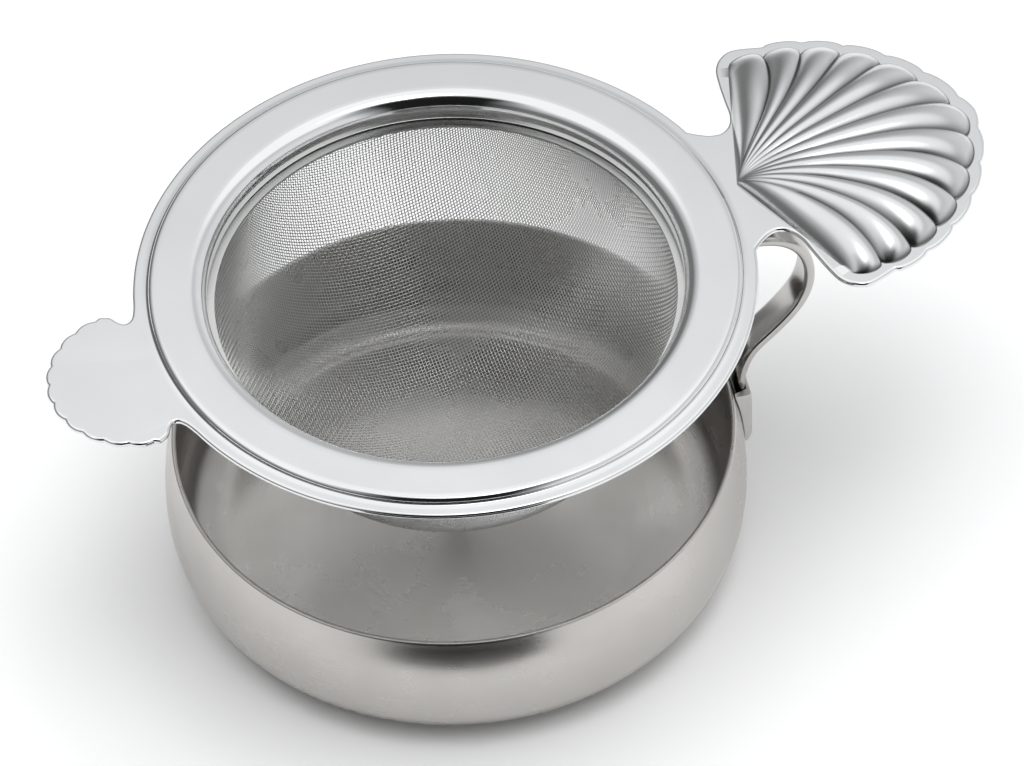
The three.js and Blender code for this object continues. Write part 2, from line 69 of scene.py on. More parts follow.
class Surface:
    """Points and faces gathered for one mesh, in millimetres."""

    def __init__(self) -> None:
        """Start with nothing in it."""
        self.points: list[Point3] = []
        self.faces: list[tuple[int, ...]] = []
        # per point: the shell's painted shade, which also sets its satin
        self.satin_and_shade: dict[int, float] = {}

    def row(self, points: Sequence[Point3]) -> list[int]:
        """Add a row of points.

        Args:
            points: the places, in order.

        Returns:
            The indices of the new points.
        """
        start = len(self.points)
        self.points.extend(tuple(p) for p in points)
        return list(range(start, len(self.points)))

    def strip(self, first: Sequence[int], second: Sequence[int], closed: bool = False) -> None:
        """Join two rows of equal length by quads.

        Args:
            first: indices of one row.
            second: indices of the next row.
            closed: whether each row's end joins its start.
        """
        count = len(first)
        for i in range(count if closed else count - 1):
            j = (i + 1) % count
            self.faces.append((first[i], first[j], second[j], second[i]))

    def turned(self, profile: Sequence[Point2], segments: int, closed: bool) -> None:
        """Turn a profile about the upright axis.

        Args:
            profile: (radius, height) points.
            segments: facets round the axis.
            closed: whether the profile's end joins its start.
        """
        rings = []
        for radius, height in profile:
            if radius < 1e-6:
                rings.append(self.row([(0.0, 0.0, height)]) * segments)
                continue
            ring = []
            for i in range(segments):
                angle = math.tau * i / segments
                ring.append((radius * math.cos(angle), radius * math.sin(angle), height))
            rings.append(self.row(ring))
        pairs = list(zip(rings, rings[1:]))
        if closed:
            pairs.append((rings[-1], rings[0]))
        for first, second in pairs:
            self.strip(first, second, closed=True)

    def mesh(self, name: str, turn: float = 0.0, sharp: float = 40.0) -> bpy.types.Mesh:
        """Weld the points and make a smooth-shaded mesh in metres.

        Args:
            name: the mesh's name.
            turn: degrees round the upright axis.
            sharp: edges that fold more than this many degrees stay crisp.

        Returns:
            The mesh, with its faces pointing out.
        """
        mesh = bpy.data.meshes.new(name)
        faces = [tuple(dict.fromkeys(face)) for face in self.faces]
        mesh.from_pydata(self.points, [], [face for face in faces if len(face) > 2])
        if self.satin_and_shade:
            depth = mesh.attributes.new(SATIN_AND_SHADE, "FLOAT", "POINT")
            for index, value in self.satin_and_shade.items():
                depth.data[index].value = value
        work = bmesh.new()
        work.from_mesh(mesh)
        bmesh.ops.remove_doubles(work, verts=work.verts, dist=WELD)
        bmesh.ops.dissolve_degenerate(work, edges=work.edges, dist=SHORTEST)
        bmesh.ops.recalc_face_normals(work, faces=work.faces)
        placed = Matrix.Rotation(math.radians(turn), 4, "Z") @ Matrix.Scale(MM, 4)
        bmesh.ops.transform(work, matrix=placed, verts=work.verts)
        work.to_mesh(mesh)
        work.free()
        mesh.polygons.foreach_set("use_smooth", [True] * len(mesh.polygons))
        mesh.set_sharp_from_angle(angle=math.radians(sharp))
        return mesh


def arc(centre: Point2, radius: float, start: float, end: float, steps: int) -> list[Point2]:
    """Points on a round.

    Args:
        centre: the round's centre.
        radius: its radius.
        start: first angle in degrees.
        end: last angle in degrees.
        steps: number of chords.

    Returns:
        steps + 1 points.
    """
    points = []
    for i in range(steps + 1):
        angle = math.radians(start + (end - start) * i / steps)
        points.append((centre[0] + radius * math.cos(angle), centre[1] + radius * math.sin(angle)))
    return points


def smooth_line(knots: Sequence[Point2], steps: int) -> list[Point2]:
    """A smooth line through knots, by the Catmull-Rom rule.

    Args:
        knots: points that the line passes through.
        steps: chords between two knots.

    Returns:
        The line's points, with both ends.
    """
    padded = [knots[0], *knots, knots[-1]]
    line = []
    for k in range(len(knots) - 1):
        a, b, c, d = padded[k:k + 4]
        for i in range(steps):
            t = i / steps
            line.append(tuple(
                0.5 * (2 * b[n] + (c[n] - a[n]) * t
                       + (2 * a[n] - 5 * b[n] + 4 * c[n] - d[n]) * t * t
                       + (3 * b[n] - a[n] - 3 * c[n] + d[n]) * t ** 3)
                for n in (0, 1)))
    line.append(tuple(knots[-1]))
    return line


def bezier(a: Point2, b: Point2, c: Point2, d: Point2, steps: int) -> list[Point2]:
    """Points along a cubic curve, without its last one."""
    line = []
    for i in range(steps):
        t = i / steps
        u = 1 - t
        line.append(tuple(
            u ** 3 * a[n] + 3 * u * u * t * b[n] + 3 * u * t * t * c[n] + t ** 3 * d[n]
            for n in (0, 1)))
    return line


def drawn_in(outline: Sequence[Point2], distance: float) -> list[Point2]:
    """A closed anticlockwise outline moved inwards.

    Args:
        outline: its points.
        distance: how far in.

    Returns:
        As many points as came in.
    """
    moved = []
    count = len(outline)
    for i in range(count):
        before, here, after = outline[i - 1], outline[i], outline[(i + 1) % count]
        normals = []
        for start, end in ((before, here), (here, after)):
            edge = Vector((end[0] - start[0], end[1] - start[1]))
            edge.normalize()
            normals.append(Vector((-edge.y, edge.x)))
        middle = normals[0] + normals[1]
        middle.normalize()
        reach = distance / max(LEAST_COSINE, middle.dot(normals[0]))
        moved.append((here[0] + middle.x * reach, here[1] + middle.y * reach))
    return moved


def inside(place: Point2, outline: Sequence[Point2]) -> bool:
    """Whether a place lies inside a closed outline."""
    crossings = False
    for (x1, y1), (x2, y2) in zip(outline, [*outline[1:], outline[0]]):
        if (y1 > place[1]) != (y2 > place[1]):
            crossings ^= place[0] < x1 + (place[1] - y1) * (x2 - x1) / (y2 - y1)
    return crossings


def set_out(name: str, data: bpy.types.ID) -> bpy.types.Object:
    """Put an object of a mesh, a lamp or a camera in the scene."""
    made = bpy.data.objects.new(name, data)
    bpy.context.scene.collection.objects.link(made)
    return made


# ---------------------------------------------------------------- finishes


class Grain(Enum):
    """How the metal's surface was worked."""

    TURNED = "turned"
    PRESSED = "pressed"
    DRAWN = "drawn"


class Body(Enum):
    """The moving bodies of the model."""

    STAND = "stand"
    SEAT = "seat"
    STRAINER = "strainer"


class ShaderNet:
    """Short calls for building a node tree."""

    def __init__(self, tree: bpy.types.NodeTree) -> None:
        """Work in one tree."""
        self.tree = tree

    def node(self, kind: str, **settings: object) -> bpy.types.Node:
        """Add a node and set its properties."""
        made = self.tree.nodes.new(kind)
        for key, value in settings.items():
            setattr(made, key, value)
        return made

    def feed(self, target: bpy.types.NodeSocket, source: object) -> None:
        """Link a socket, or set a value on it."""
        if isinstance(source, bpy.types.NodeSocket):
            self.tree.links.new(source, target)
        else:
            target.default_value = source

    def sum(self, how: str, first: object, second: object = 0.0) -> bpy.types.NodeSocket:
        """A Math node's result.

        Args:
            how: the operation.
            first: its first number or socket.
            second: its second number or socket.

        Returns:
            The result's socket.
        """
        made = self.node("ShaderNodeMath", operation=how)
        self.feed(made.inputs[0], first)
        self.feed(made.inputs[1], second)
        return made.outputs[0]

    def noise(self, where: object, scale: object, detail: float) -> bpy.types.NodeSocket:
        """A noise pattern's value at a place."""
        made = self.node("ShaderNodeTexNoise")
        self.feed(made.inputs["Vector"], where)
        self.feed(made.inputs["Scale"], scale)
        made.inputs["Detail"].default_value = detail
        return made.outputs["Fac"]

    def place(self) -> bpy.types.NodeSocket:
        """Where a point lies on its piece, in metres."""
        return self.node("ShaderNodeTexCoord").outputs["Object"]

    def split(self, source: object) -> bpy.types.NodeOutputs:
        """The three parts of a place."""
        made = self.node("ShaderNodeSeparateXYZ")
        self.feed(made.inputs[0], source)
        return made.outputs

    def joined(self, *parts: object) -> bpy.types.NodeSocket:
        """A place of three parts."""
        made = self.node("ShaderNodeCombineXYZ")
        for slot, source in enumerate(parts):
            self.feed(made.inputs[slot], source)
        return made.outputs[0]

    def mixed(self, share: object, first: object, second: object,
              blend: str = "MIX") -> bpy.types.NodeSocket:
        """Mix two colours.

        Args:
            share: how much of the second, from 0 to 1.
            first: a colour or a socket.
            second: a colour or a socket.
            blend: how they are put together.

        Returns:
            The mixed colour.
        """
        node = self.node("ShaderNodeMix", data_type="RGBA", blend_type=blend)
        self.feed(node.inputs[0], share)
        for socket, value in ((node.inputs[6], first), (node.inputs[7], second)):
            self.feed(socket, (*value, 1.0) if isinstance(value, tuple) else value)
        return node.outputs[2]

    def spread(self, value: object, low: object, high: object,
               new_low: object, new_high: object) -> bpy.types.NodeSocket:
        """A value carried from one range to another."""
        made = self.node("ShaderNodeMapRange")
        for slot, source in enumerate((value, low, high, new_low, new_high)):
            self.feed(made.inputs[slot], source)
        return made.outputs[0]


class SteelGroups:
    """The shared effects, each a node group that is built once."""

    def __init__(self) -> None:
        """Build the groups."""
        self.grain = {Grain.TURNED: self.turned_grain(), Grain.PRESSED: self.pressed_grain(),
                      Grain.DRAWN: self.drawn_grain()}
        self.wear_and_shade = self.wear_and_painted_shade()

    @staticmethod
    def opened(name: str, values: dict[str, float], colours: dict[str, tuple],
               results: dict[str, str]) -> tuple[ShaderNet, bpy.types.Node, bpy.types.Node]:
        """Start a group with its sockets.

        Args:
            name: the group's name.
            values: number inputs and their defaults.
            colours: colour inputs and their defaults.
            results: outputs and their socket types.

        Returns:
            The net to build in, the input node and the output node.
        """
        tree = bpy.data.node_groups.new(name, "ShaderNodeTree")
        for key, value in values.items():
            socket = tree.interface.new_socket(key, in_out="INPUT", socket_type="NodeSocketFloat")
            socket.default_value = value
        for key, value in colours.items():
            socket = tree.interface.new_socket(key, in_out="INPUT", socket_type="NodeSocketColor")
            socket.default_value = value
        for key, kind in results.items():
            tree.interface.new_socket(key, in_out="OUTPUT", socket_type=kind)
        net = ShaderNet(tree)
        return net, net.node("NodeGroupInput"), net.node("NodeGroupOutput")

    def grain_opened(self, name: str) -> tuple[ShaderNet, bpy.types.Node, bpy.types.Node,
                                               bpy.types.NodeSocket]:
        """Start a grain's group, and give the place on the piece with it."""
        net, given, made = self.opened(
            name, {"Fineness": 5.0, "Sweep": 1.0}, {},
            {"Height": "NodeSocketFloat", "Streaks": "NodeSocketFloat"})
        return net, given, made, net.place()

    def turned_grain(self) -> bpy.types.NodeTree:
        """Fine rings left by spinning, with faint polishing sweeps across them."""
        net, given, made, place = self.grain_opened("turned_grain")
        across, along, up = net.split(place)
        radius = net.sum("SQRT", net.sum("ADD", net.sum("POWER", across, 2.0),
                                         net.sum("POWER", along, 2.0)))
        angle = net.sum("ARCTAN2", along, across)
        round_the_axis, out_sweeps, round_sweeps = 0.8, 60.0, 5.0
        rings = net.joined(net.sum("MULTIPLY", radius, PER_METRE),
                           net.sum("MULTIPLY", angle, round_the_axis),
                           net.sum("MULTIPLY", up, PER_METRE))
        fine = net.noise(rings, given.outputs["Fineness"], detail=3.0)
        sweeps = net.joined(net.sum("MULTIPLY", radius, out_sweeps),
                            net.sum("MULTIPLY", net.sum("SINE", angle), round_sweeps),
                            net.sum("MULTIPLY", net.sum("COSINE", angle), round_sweeps))
        broad = net.noise(sweeps, given.outputs["Sweep"], detail=2.0)
        net.feed(made.inputs["Height"], fine)
        net.feed(made.inputs["Streaks"], net.sum("MULTIPLY", net.sum("ADD", fine, broad), 0.5))
        return net.tree

    def pressed_grain(self) -> bpy.types.NodeTree:
        """The even, fine satin of pressed and tumbled sheet."""
        net, given, made, place = self.grain_opened("pressed_grain")
        fine = net.noise(place, net.sum("MULTIPLY", given.outputs["Fineness"], PER_METRE),
                         detail=2.0)
        smears = 90.0
        soft = net.noise(place, net.sum("MULTIPLY", given.outputs["Sweep"], smears), detail=3.0)
        net.feed(made.inputs["Height"], fine)
        net.feed(made.inputs["Streaks"], soft)
        return net.tree

    def drawn_grain(self) -> bpy.types.NodeTree:
        """Long lines left along strip and wire by drawing."""
        net, given, made, place = self.grain_opened("drawn_grain")
        long = net.node("ShaderNodeMapping")
        long.inputs["Rotation"].default_value = (0.0, 0.0, math.radians(-EarArm.turn))
        net.feed(long.inputs["Vector"], place)
        squeezed = net.node("ShaderNodeVectorMath", operation="MULTIPLY")
        net.feed(squeezed.inputs[0], long.outputs[0])
        lengthwise, crosswise, smears = 60.0, 1400.0, 120.0
        squeezed.inputs[1].default_value = (lengthwise, crosswise, lengthwise)
        fine = net.noise(squeezed.outputs[0], given.outputs["Fineness"], detail=2.0)
        soft = net.noise(place, net.sum("MULTIPLY", given.outputs["Sweep"], smears), detail=2.0)
        net.feed(made.inputs["Height"], fine)
        net.feed(made.inputs["Streaks"], net.sum("MULTIPLY", net.sum("ADD", fine, soft), 0.5))
        return net.tree

    def wear_and_painted_shade(self) -> bpy.types.NodeTree:
        """Soft smears of use, edges rubbed a little brighter, and painted shade in the shell's
        grooves and round its foot.
        """
        net, given, made = self.opened(
            "wear_and_painted_shade", {"Streaks": 0.5, "Low": 0.2, "High": 0.3, "Satin_And_Shade": 0.0},
            {"Bright": (0.8, 0.8, 0.8, 1.0), "Dull": (0.7, 0.7, 0.7, 1.0)},
            {"Colour": "NodeSocketColor", "Roughness": "NodeSocketFloat"})
        smear_scale, smear_range = 70.0, (0.35, 0.7)
        edge_range, rough_range = (0.52, 0.62), (0.2, 0.8)
        # the grey that the painted shade darkens towards, and the extra roughness of the shell's
        # satin
        painted_shade_tone, satin_rough = (0.20, 0.20, 0.19), 0.12
        smears = net.noise(net.place(), smear_scale, detail=4.0)
        smeared = net.spread(smears, *smear_range, 0.0, 1.0)
        worn = net.spread(net.node("ShaderNodeNewGeometry").outputs["Pointiness"],
                          *edge_range, 0.0, 1.0)
        mixed = net.sum("MULTIPLY", net.sum("ADD", smeared, given.outputs["Streaks"]), 0.5)
        rough = net.spread(mixed, *rough_range, given.outputs["Low"], given.outputs["High"])
        dullness = net.sum("MULTIPLY", mixed, net.sum("SUBTRACT", 1.0, worn))
        colour = net.mixed(dullness, given.outputs["Bright"], given.outputs["Dull"])
        satin_and_shade = given.outputs["Satin_And_Shade"]
        satin = net.spread(satin_and_shade, 0.0, SATIN_AND_FAINT_SHADE, 0.0, satin_rough)
        # painted shade: the colour is multiplied towards that grey as far as the mask goes
        net.feed(made.inputs["Colour"], net.mixed(satin_and_shade, colour, painted_shade_tone, "MULTIPLY"))
        net.feed(made.inputs["Roughness"], net.sum("ADD", rough, satin))
        return net.tree


@dataclass(frozen=True)
class SteelFinish:
    """One finish of stainless steel.

    Attributes:
        name: the material's name.
        bright: colour where the metal is clean.
        dull: colour where it is smeared.
        rough: lowest and highest roughness.
        grain: how the surface was worked.
        fineness: how close the grain lies.
        sweep: how close the soft sweeps lie.
        depth: depth of the grain in millimetres.
        pull: how far highlights stretch across the grain, from 0 to 1.
    """

    name: str
    bright: Point3
    dull: Point3
    rough: Point2
    grain: Grain
    fineness: float
    sweep: float
    depth: float
    pull: float = 0.0

    def material(self, groups: SteelGroups) -> bpy.types.Material:
        """Build the material.

        Args:
            groups: the shared effects.

        Returns:
            The finished material.
        """
        material = bpy.data.materials.new(self.name)
        material.use_nodes = True
        net = ShaderNet(material.node_tree)
        steel = material.node_tree.nodes["Principled BSDF"]
        grain = net.node("ShaderNodeGroup", node_tree=groups.grain[self.grain])
        wear_and_shade = net.node("ShaderNodeGroup", node_tree=groups.wear_and_shade)
        # the shell's painted shade, read from the mesh and fed to the group below
        depth = net.node("ShaderNodeAttribute", attribute_name=SATIN_AND_SHADE)
        bump = net.node("ShaderNodeBump")
        low, high = self.rough
        for node, sources in (
                (grain, {"Fineness": self.fineness, "Sweep": self.sweep}),
                (wear_and_shade, {"Streaks": grain.outputs["Streaks"], "Low": low, "High": high,
                        "Satin_And_Shade": depth.outputs["Fac"], "Bright": (*self.bright, 1.0),
                        "Dull": (*self.dull, 1.0)}),
                (bump, {"Strength": 1.0, "Distance": self.depth * MM,
                        "Height": grain.outputs["Height"]}),
                (steel, {"Metallic": 1.0, "Anisotropic": self.pull,
                         "Base Color": wear_and_shade.outputs["Colour"],
                         "Roughness": wear_and_shade.outputs["Roughness"],
                         "Normal": bump.outputs["Normal"]})):
            for socket, source in sources.items():
                net.feed(node.inputs[socket], source)
        return material


SPUN_BOWL = SteelFinish("spun_bowl_steel", (0.58, 0.562, 0.54), (0.50, 0.483, 0.46),
                        (0.24, 0.34), Grain.TURNED, 1.6, 1.0, 0.002, 0.7)
PRESSED_PLATE = SteelFinish("pressed_plate_steel", (0.80, 0.805, 0.81), (0.73, 0.735, 0.74),
                            (0.08, 0.15), Grain.PRESSED, 1.2, 1.0, 0.0008)
# The clamp ring's steel is painted dark, as the shade that falls inside the collar.
CRIMPED = SteelFinish("crimped_band_steel", (0.34, 0.33, 0.31), (0.26, 0.25, 0.23),
                      (0.28, 0.45), Grain.PRESSED, 1.0, 2.0, 0.004)
STRIP = SteelFinish("strip_steel", (0.52, 0.51, 0.495), (0.42, 0.41, 0.395),
                    (0.16, 0.26), Grain.DRAWN, 1.0, 1.0, 0.003)
SOLDERED = SteelFinish("soldered_fitting_steel", (0.60, 0.59, 0.57), (0.46, 0.45, 0.43),
                       (0.28, 0.45), Grain.PRESSED, 1.0, 2.0, 0.004)
WIRE = SteelFinish("wire_steel", (0.74, 0.74, 0.73), (0.62, 0.62, 0.60),
                   (0.24, 0.36), Grain.PRESSED, 1.5, 2.0, 0.001)


@dataclass
class Workshop:
    """Places finished pieces on the model."""

    groups: SteelGroups = field(default_factory=SteelGroups)
    materials: dict[str, bpy.types.Material] = field(default_factory=dict)

    def finish(self, steel: SteelFinish) -> bpy.types.Material:
        """The material of a finish, built the first time it is asked for."""
        if steel.name not in self.materials:
            self.materials[steel.name] = steel.material(self.groups)
        return self.materials[steel.name]

    def place(self, mesh: bpy.types.Mesh, steel: SteelFinish, body: Body, slot: str,
              *stands_for: str) -> bpy.types.Object:
        """Make a piece of a mesh, dress it and join it to its body.

        Args:
            mesh: the piece's mesh.
            steel: its finish.
            body: the body that it moves with.
            slot: the record's material slot; not used.
            stands_for: CAD nodes that it replaces.

        Returns:
            The piece.
        """
        piece = set_out(mesh.name, mesh)
        mesh.materials.append(self.finish(steel))
        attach(piece, body.value)
        if stands_for:
            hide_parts(*stands_for)
        LOG.info("%s: %d faces on %s", piece.name, len(mesh.polygons), body.value)
        return piece


# ---------------------------------------------------------------- stand


@dataclass
class DripBowl:
    """The spun bowl that catches the drips.

    Attributes:
        height: of the rim over the table.
        rim_radius: outside of the rim.
        bulge_radius: outside of the widest place.
        bulge_height: its height.
        base_radius: of the flat base.
        base_rings: radii of the base's rings of points.
        corner_power: how round the corner is from base to wall; 1 is a quarter ellipse.
        sheet: thickness.
    """

    height: float = 19.0
    rim_radius: float = 36.1
    bulge_radius: float = 37.35
    bulge_height: float = 10.0
    base_radius: float = 29.0
    base_rings: tuple[float, ...] = (0.0, 6.0, 14.0, 22.0, 26.0, 28.0)
    corner_power: float = 0.8
    corner_steps: int = 36
    wall_steps: int = 12
    rim_steps: int = 10
    sheet: float = 0.7
    segments: int = 256

    def wall_at(self, height: float) -> float:
        """Outside radius of the wall at a height above the bulge."""
        share = (height - self.bulge_height) / (self.height - self.bulge_height)
        return self.bulge_radius - (self.bulge_radius - self.rim_radius) * share ** 2

    def wall(self, inset: float) -> list[Point2]:
        """The wall's line from the middle of the base to the rim.

        Args:
            inset: how far inside the outer face it lies.

        Returns:
            (radius, height) points.
        """
        line = [(radius, inset) for radius in self.base_rings]
        corner = self.bulge_radius - self.base_radius
        for i in range(self.corner_steps + 1):
            angle = math.pi / 2 * i / self.corner_steps
            out = math.sin(angle) ** self.corner_power
            up = 1 - math.cos(angle) ** self.corner_power
            line.append((self.base_radius + corner * out - inset * math.sin(angle),
                         (self.bulge_height - inset) * up + inset))
        for i in range(1, self.wall_steps + 1):
            share = i / self.wall_steps
            height = self.bulge_height + (self.height - self.bulge_height) * share
            line.append((self.wall_at(height) - inset, height))
        return line

    def mesh(self) -> bpy.types.Mesh:
        """The bowl with its rolled rim."""
        surface = Surface()
        middle = self.rim_radius - self.sheet / 2
        rim = arc((middle, self.height), self.sheet / 2, 0, 180, self.rim_steps)[1:-1]
        profile = [*self.wall(0.0), *rim, *reversed(self.wall(self.sheet))]
        surface.turned(profile, self.segments, closed=False)
        return surface.mesh("drip_bowl_shell")

    def build(self, shop: Workshop) -> None:
        """Make and place the bowl."""
        shop.place(self.mesh(), SPUN_BOWL, Body.STAND, "satin_steel", "drip_bowl")


@dataclass
class EarArm:
    """The strap that carries the holder ring, bent like an ear.

    Attributes:
        width: of the strap.
        thickness: of the strap.
        tongue: thickness of its lower end.
        tongue_depth: how far that end goes into the lug.
        gap: between the tongue and the bowl's wall.
        reach: distance of its widest place from the axis.
        start: where it leaves the holder ring.
        level_run: how far it runs level from there.
        shoulder: where it begins to bend.
        level: height of its level end.
        widest_drop: from that height down to the widest place.
        waist: height over the bowl's rim and share of the way out.
        neck_rise: height over the rim where it is upright again.
        pulls: handles of its curves, along the level and down to the widest place, down
            from it, above the waist, below it, and above the neck.
        taper: height over the rim where the tongue ends, and how far it takes to thicken.
        edge_round: how round its edges are, as a share of half its thickness.
    """

    width: float = 4.8
    thickness: float = 1.4
    tongue: float = 0.9
    tongue_depth: float = 2.2
    gap: float = 0.15
    reach: float = 46.2
    start: float = 36.0
    level_run: float = 1.2
    shoulder: float = 39.3
    level: float = 45.75
    widest_drop: float = 7.5
    waist: Point2 = (8.0, 0.3)
    neck_rise: float = 1.2
    pulls: tuple[Point2, float, Point2, Point2, float] = (
        (0.62, 4.5), 0.4, (0.52, 3.76), (0.25, 1.76), 2.56)
    curve_steps: tuple[int, int, int] = (40, 36, 24)
    taper: Point2 = (1.0, 3.0)
    edge_round: float = 0.92
    edge_steps: int = 6
    bowl: DripBowl = field(default_factory=DripBowl)
    turn = -10.0

    def line(self) -> list[Point2]:
        """The strap's middle line, as (distance from the axis, height)."""
        rim = self.bowl.height
        foot = rim - self.tongue_depth
        foot_out = self.bowl.wall_at(foot) + self.gap + self.tongue / 2
        bulge = self.reach - self.shoulder
        widest = (self.reach, self.level - self.widest_drop)
        waist_rise, waist_share = self.waist
        waist = (foot_out + (self.reach - foot_out) * waist_share, rim + waist_rise)
        neck = (foot_out, rim + self.neck_rise)
        (over, above), down, (out, up), (back, under), rise = self.pulls
        first, second, third = self.curve_steps
        line = [(self.start, self.level), (self.start + self.level_run, self.level)]
        line += bezier((self.shoulder, self.level), (self.shoulder + bulge * over, self.level),
                       (self.reach, widest[1] + above), widest, first)
        line += bezier(widest, (self.reach, widest[1] + (waist[1] - widest[1]) * down),
                       (waist[0] + bulge * out, waist[1] + up), waist, second)
        line += bezier(waist, (waist[0] - bulge * back, waist[1] - under),
                       (neck[0], neck[1] + rise), neck, third)
        line += [neck, (foot_out, rim), (foot_out, rim - 1.0), (foot_out, foot)]
        return line

    def section(self, thickness: float) -> list[Point2]:
        """The strap's cross-section, flat with well-rounded edges."""
        half, reach = thickness / 2, self.width / 2
        round_ = half * self.edge_round
        loop = []
        for sx, sy, start in ((1, 1, 0), (-1, 1, 90), (-1, -1, 180), (1, -1, 270)):
            centre = (sx * (half - round_), sy * (reach - round_))
            loop += arc(centre, round_, start, start + 90, self.edge_steps)
        return loop

    def mesh(self) -> bpy.types.Mesh:
        """The strap along its line."""
        surface = Surface()
        line = self.line()
        rows = []
        for i, (out, up) in enumerate(line):
            before, after = line[max(i - 1, 0)], line[min(i + 1, len(line) - 1)]
            along = Vector((after[0] - before[0], after[1] - before[1])).normalized()
            above = up - self.bowl.height - self.taper[0]
            thick = min(1.0, max(0.0, above / self.taper[1]))
            thickness = self.tongue + (self.thickness - self.tongue) * thick ** 2 * (3 - 2 * thick)
            rows.append(surface.row([(out - along.y * a, b, up + along.x * a)
                                     for a, b in self.section(thickness)]))
        for first, second in zip(rows, rows[1:]):
            surface.strip(first, second, closed=True)
        surface.faces += [tuple(rows[0]), tuple(rows[-1])]
        return surface.mesh("ear_strap", self.turn)

    def build(self, shop: Workshop) -> None:
        """Make and place the strap."""
        shop.place(self.mesh(), STRIP, Body.STAND, "strip_steel", "ear_arm")


@dataclass
class SocketLug:
    """The little pocket on the bowl's wall that takes the strap's tongue.

    Attributes:
        width: round the bowl.
        sheet: thickness in front of the pocket.
        foot: height of its lower edge.
        front: distance of the pocket's front from the axis.
        pocket_floor: height of the pocket's floor.
        pocket_half: half the pocket's width.
        gap: between the lug and the bowl's wall.
        corner: round of its upright edges.
        levels: heights of its rings of points.
        foot_slope: height over which the foot draws in, and how much it does.
        top_round: how far the upper edge draws in.
    """

    width: float = 7.0
    sheet: float = 0.5
    foot: float = 10.3
    front: float = 37.84
    pocket_floor: float = 16.65
    pocket_half: float = 2.55
    gap: float = 0.15
    corner: float = 0.45
    back_steps: int = 12
    levels: tuple[float, ...] = (10.3, 10.45, 10.8, 11.5, 12.5, 15.0, 16.65, 16.7, 17.6,
                                 18.4, 18.85, 19.0)
    foot_slope: Point2 = (1.0, 0.5)
    top_round: float = 0.15
    bowl: DripBowl = field(default_factory=DripBowl)

    def mesh(self) -> bpy.types.Mesh:
        """A bent plate with a raised pocket, open at the top."""
        surface = Surface()
        rows = []
        slope_height, slope = self.foot_slope
        for level in self.levels:
            top_round = max(0.0, level - (self.levels[-1] - self.top_round))
            foot_round = max(0.0, self.foot + slope_height - level) * slope
            outer = self.front + self.sheet - foot_round - top_round
            rows.append(surface.row(self.ring_at(level, outer)))
        for first, second in zip(rows, rows[1:]):
            surface.strip(first, second, closed=True)
        surface.faces += [tuple(rows[0]), tuple(rows[-1])]
        return surface.mesh("socket_pocket", EarArm.turn, sharp=30.0)

    def ring_at(self, level: float, outer: float) -> list[Point3]:
        """One level's loop: round the front, and back along the wall or the pocket.

        Args:
            level: its height.
            outer: distance of the front face from the axis.

        Returns:
            The loop's points.
        """
        wall = self.bowl.wall_at(level) + self.gap
        half, corner = self.width / 2, self.corner
        back = math.sqrt(wall ** 2 - half ** 2)
        loop = [(back, -half), *arc((outer - corner, -half + corner), corner, 270, 360, 5)]
        loop += [*arc((outer - corner, half - corner), corner, 0, 90, 5), (back, half)]
        in_pocket = level > self.pocket_floor
        for i in range(1, self.back_steps):
            across = half - 2 * half * i / self.back_steps
            near = math.sqrt(wall ** 2 - across ** 2)
            deep = in_pocket and abs(across) < self.pocket_half
            loop.append((max(near, self.front) if deep else near, across))
        return [(x, y, level) for x, y in loop]

    def build(self, shop: Workshop) -> None:
        """Make and place the lug."""
        shop.place(self.mesh(), SOLDERED, Body.STAND, "satin_steel", "socket_lug")


@dataclass
class HolderRing:
    """The ring on the arm's upper end that the strainer lies in."""

    inner: float = 33.85
    outer: float = 35.85
    bottom: float = 45.3
    top: float = 47.25
    round_: float = 0.45
    round_steps: int = 6
    segments: int = 256

    def build(self, shop: Workshop) -> None:
        """Make and place the ring."""
        surface = Surface()
        profile = []
        for x, y, start in ((self.outer - self.round_, self.top - self.round_, 0),
                            (self.inner + self.round_, self.top - self.round_, 90),
                            (self.inner + self.round_, self.bottom + self.round_, 180),
                            (self.outer - self.round_, self.bottom + self.round_, 270)):
            profile += arc((x, y), self.round_, start, start + 90, self.round_steps)
        surface.turned(profile, self.segments, closed=True)
        shop.place(surface.mesh("holder_band"), STRIP, Body.STAND, "strip_steel", "holder_ring")


# ---------------------------------------------------------------- strainer


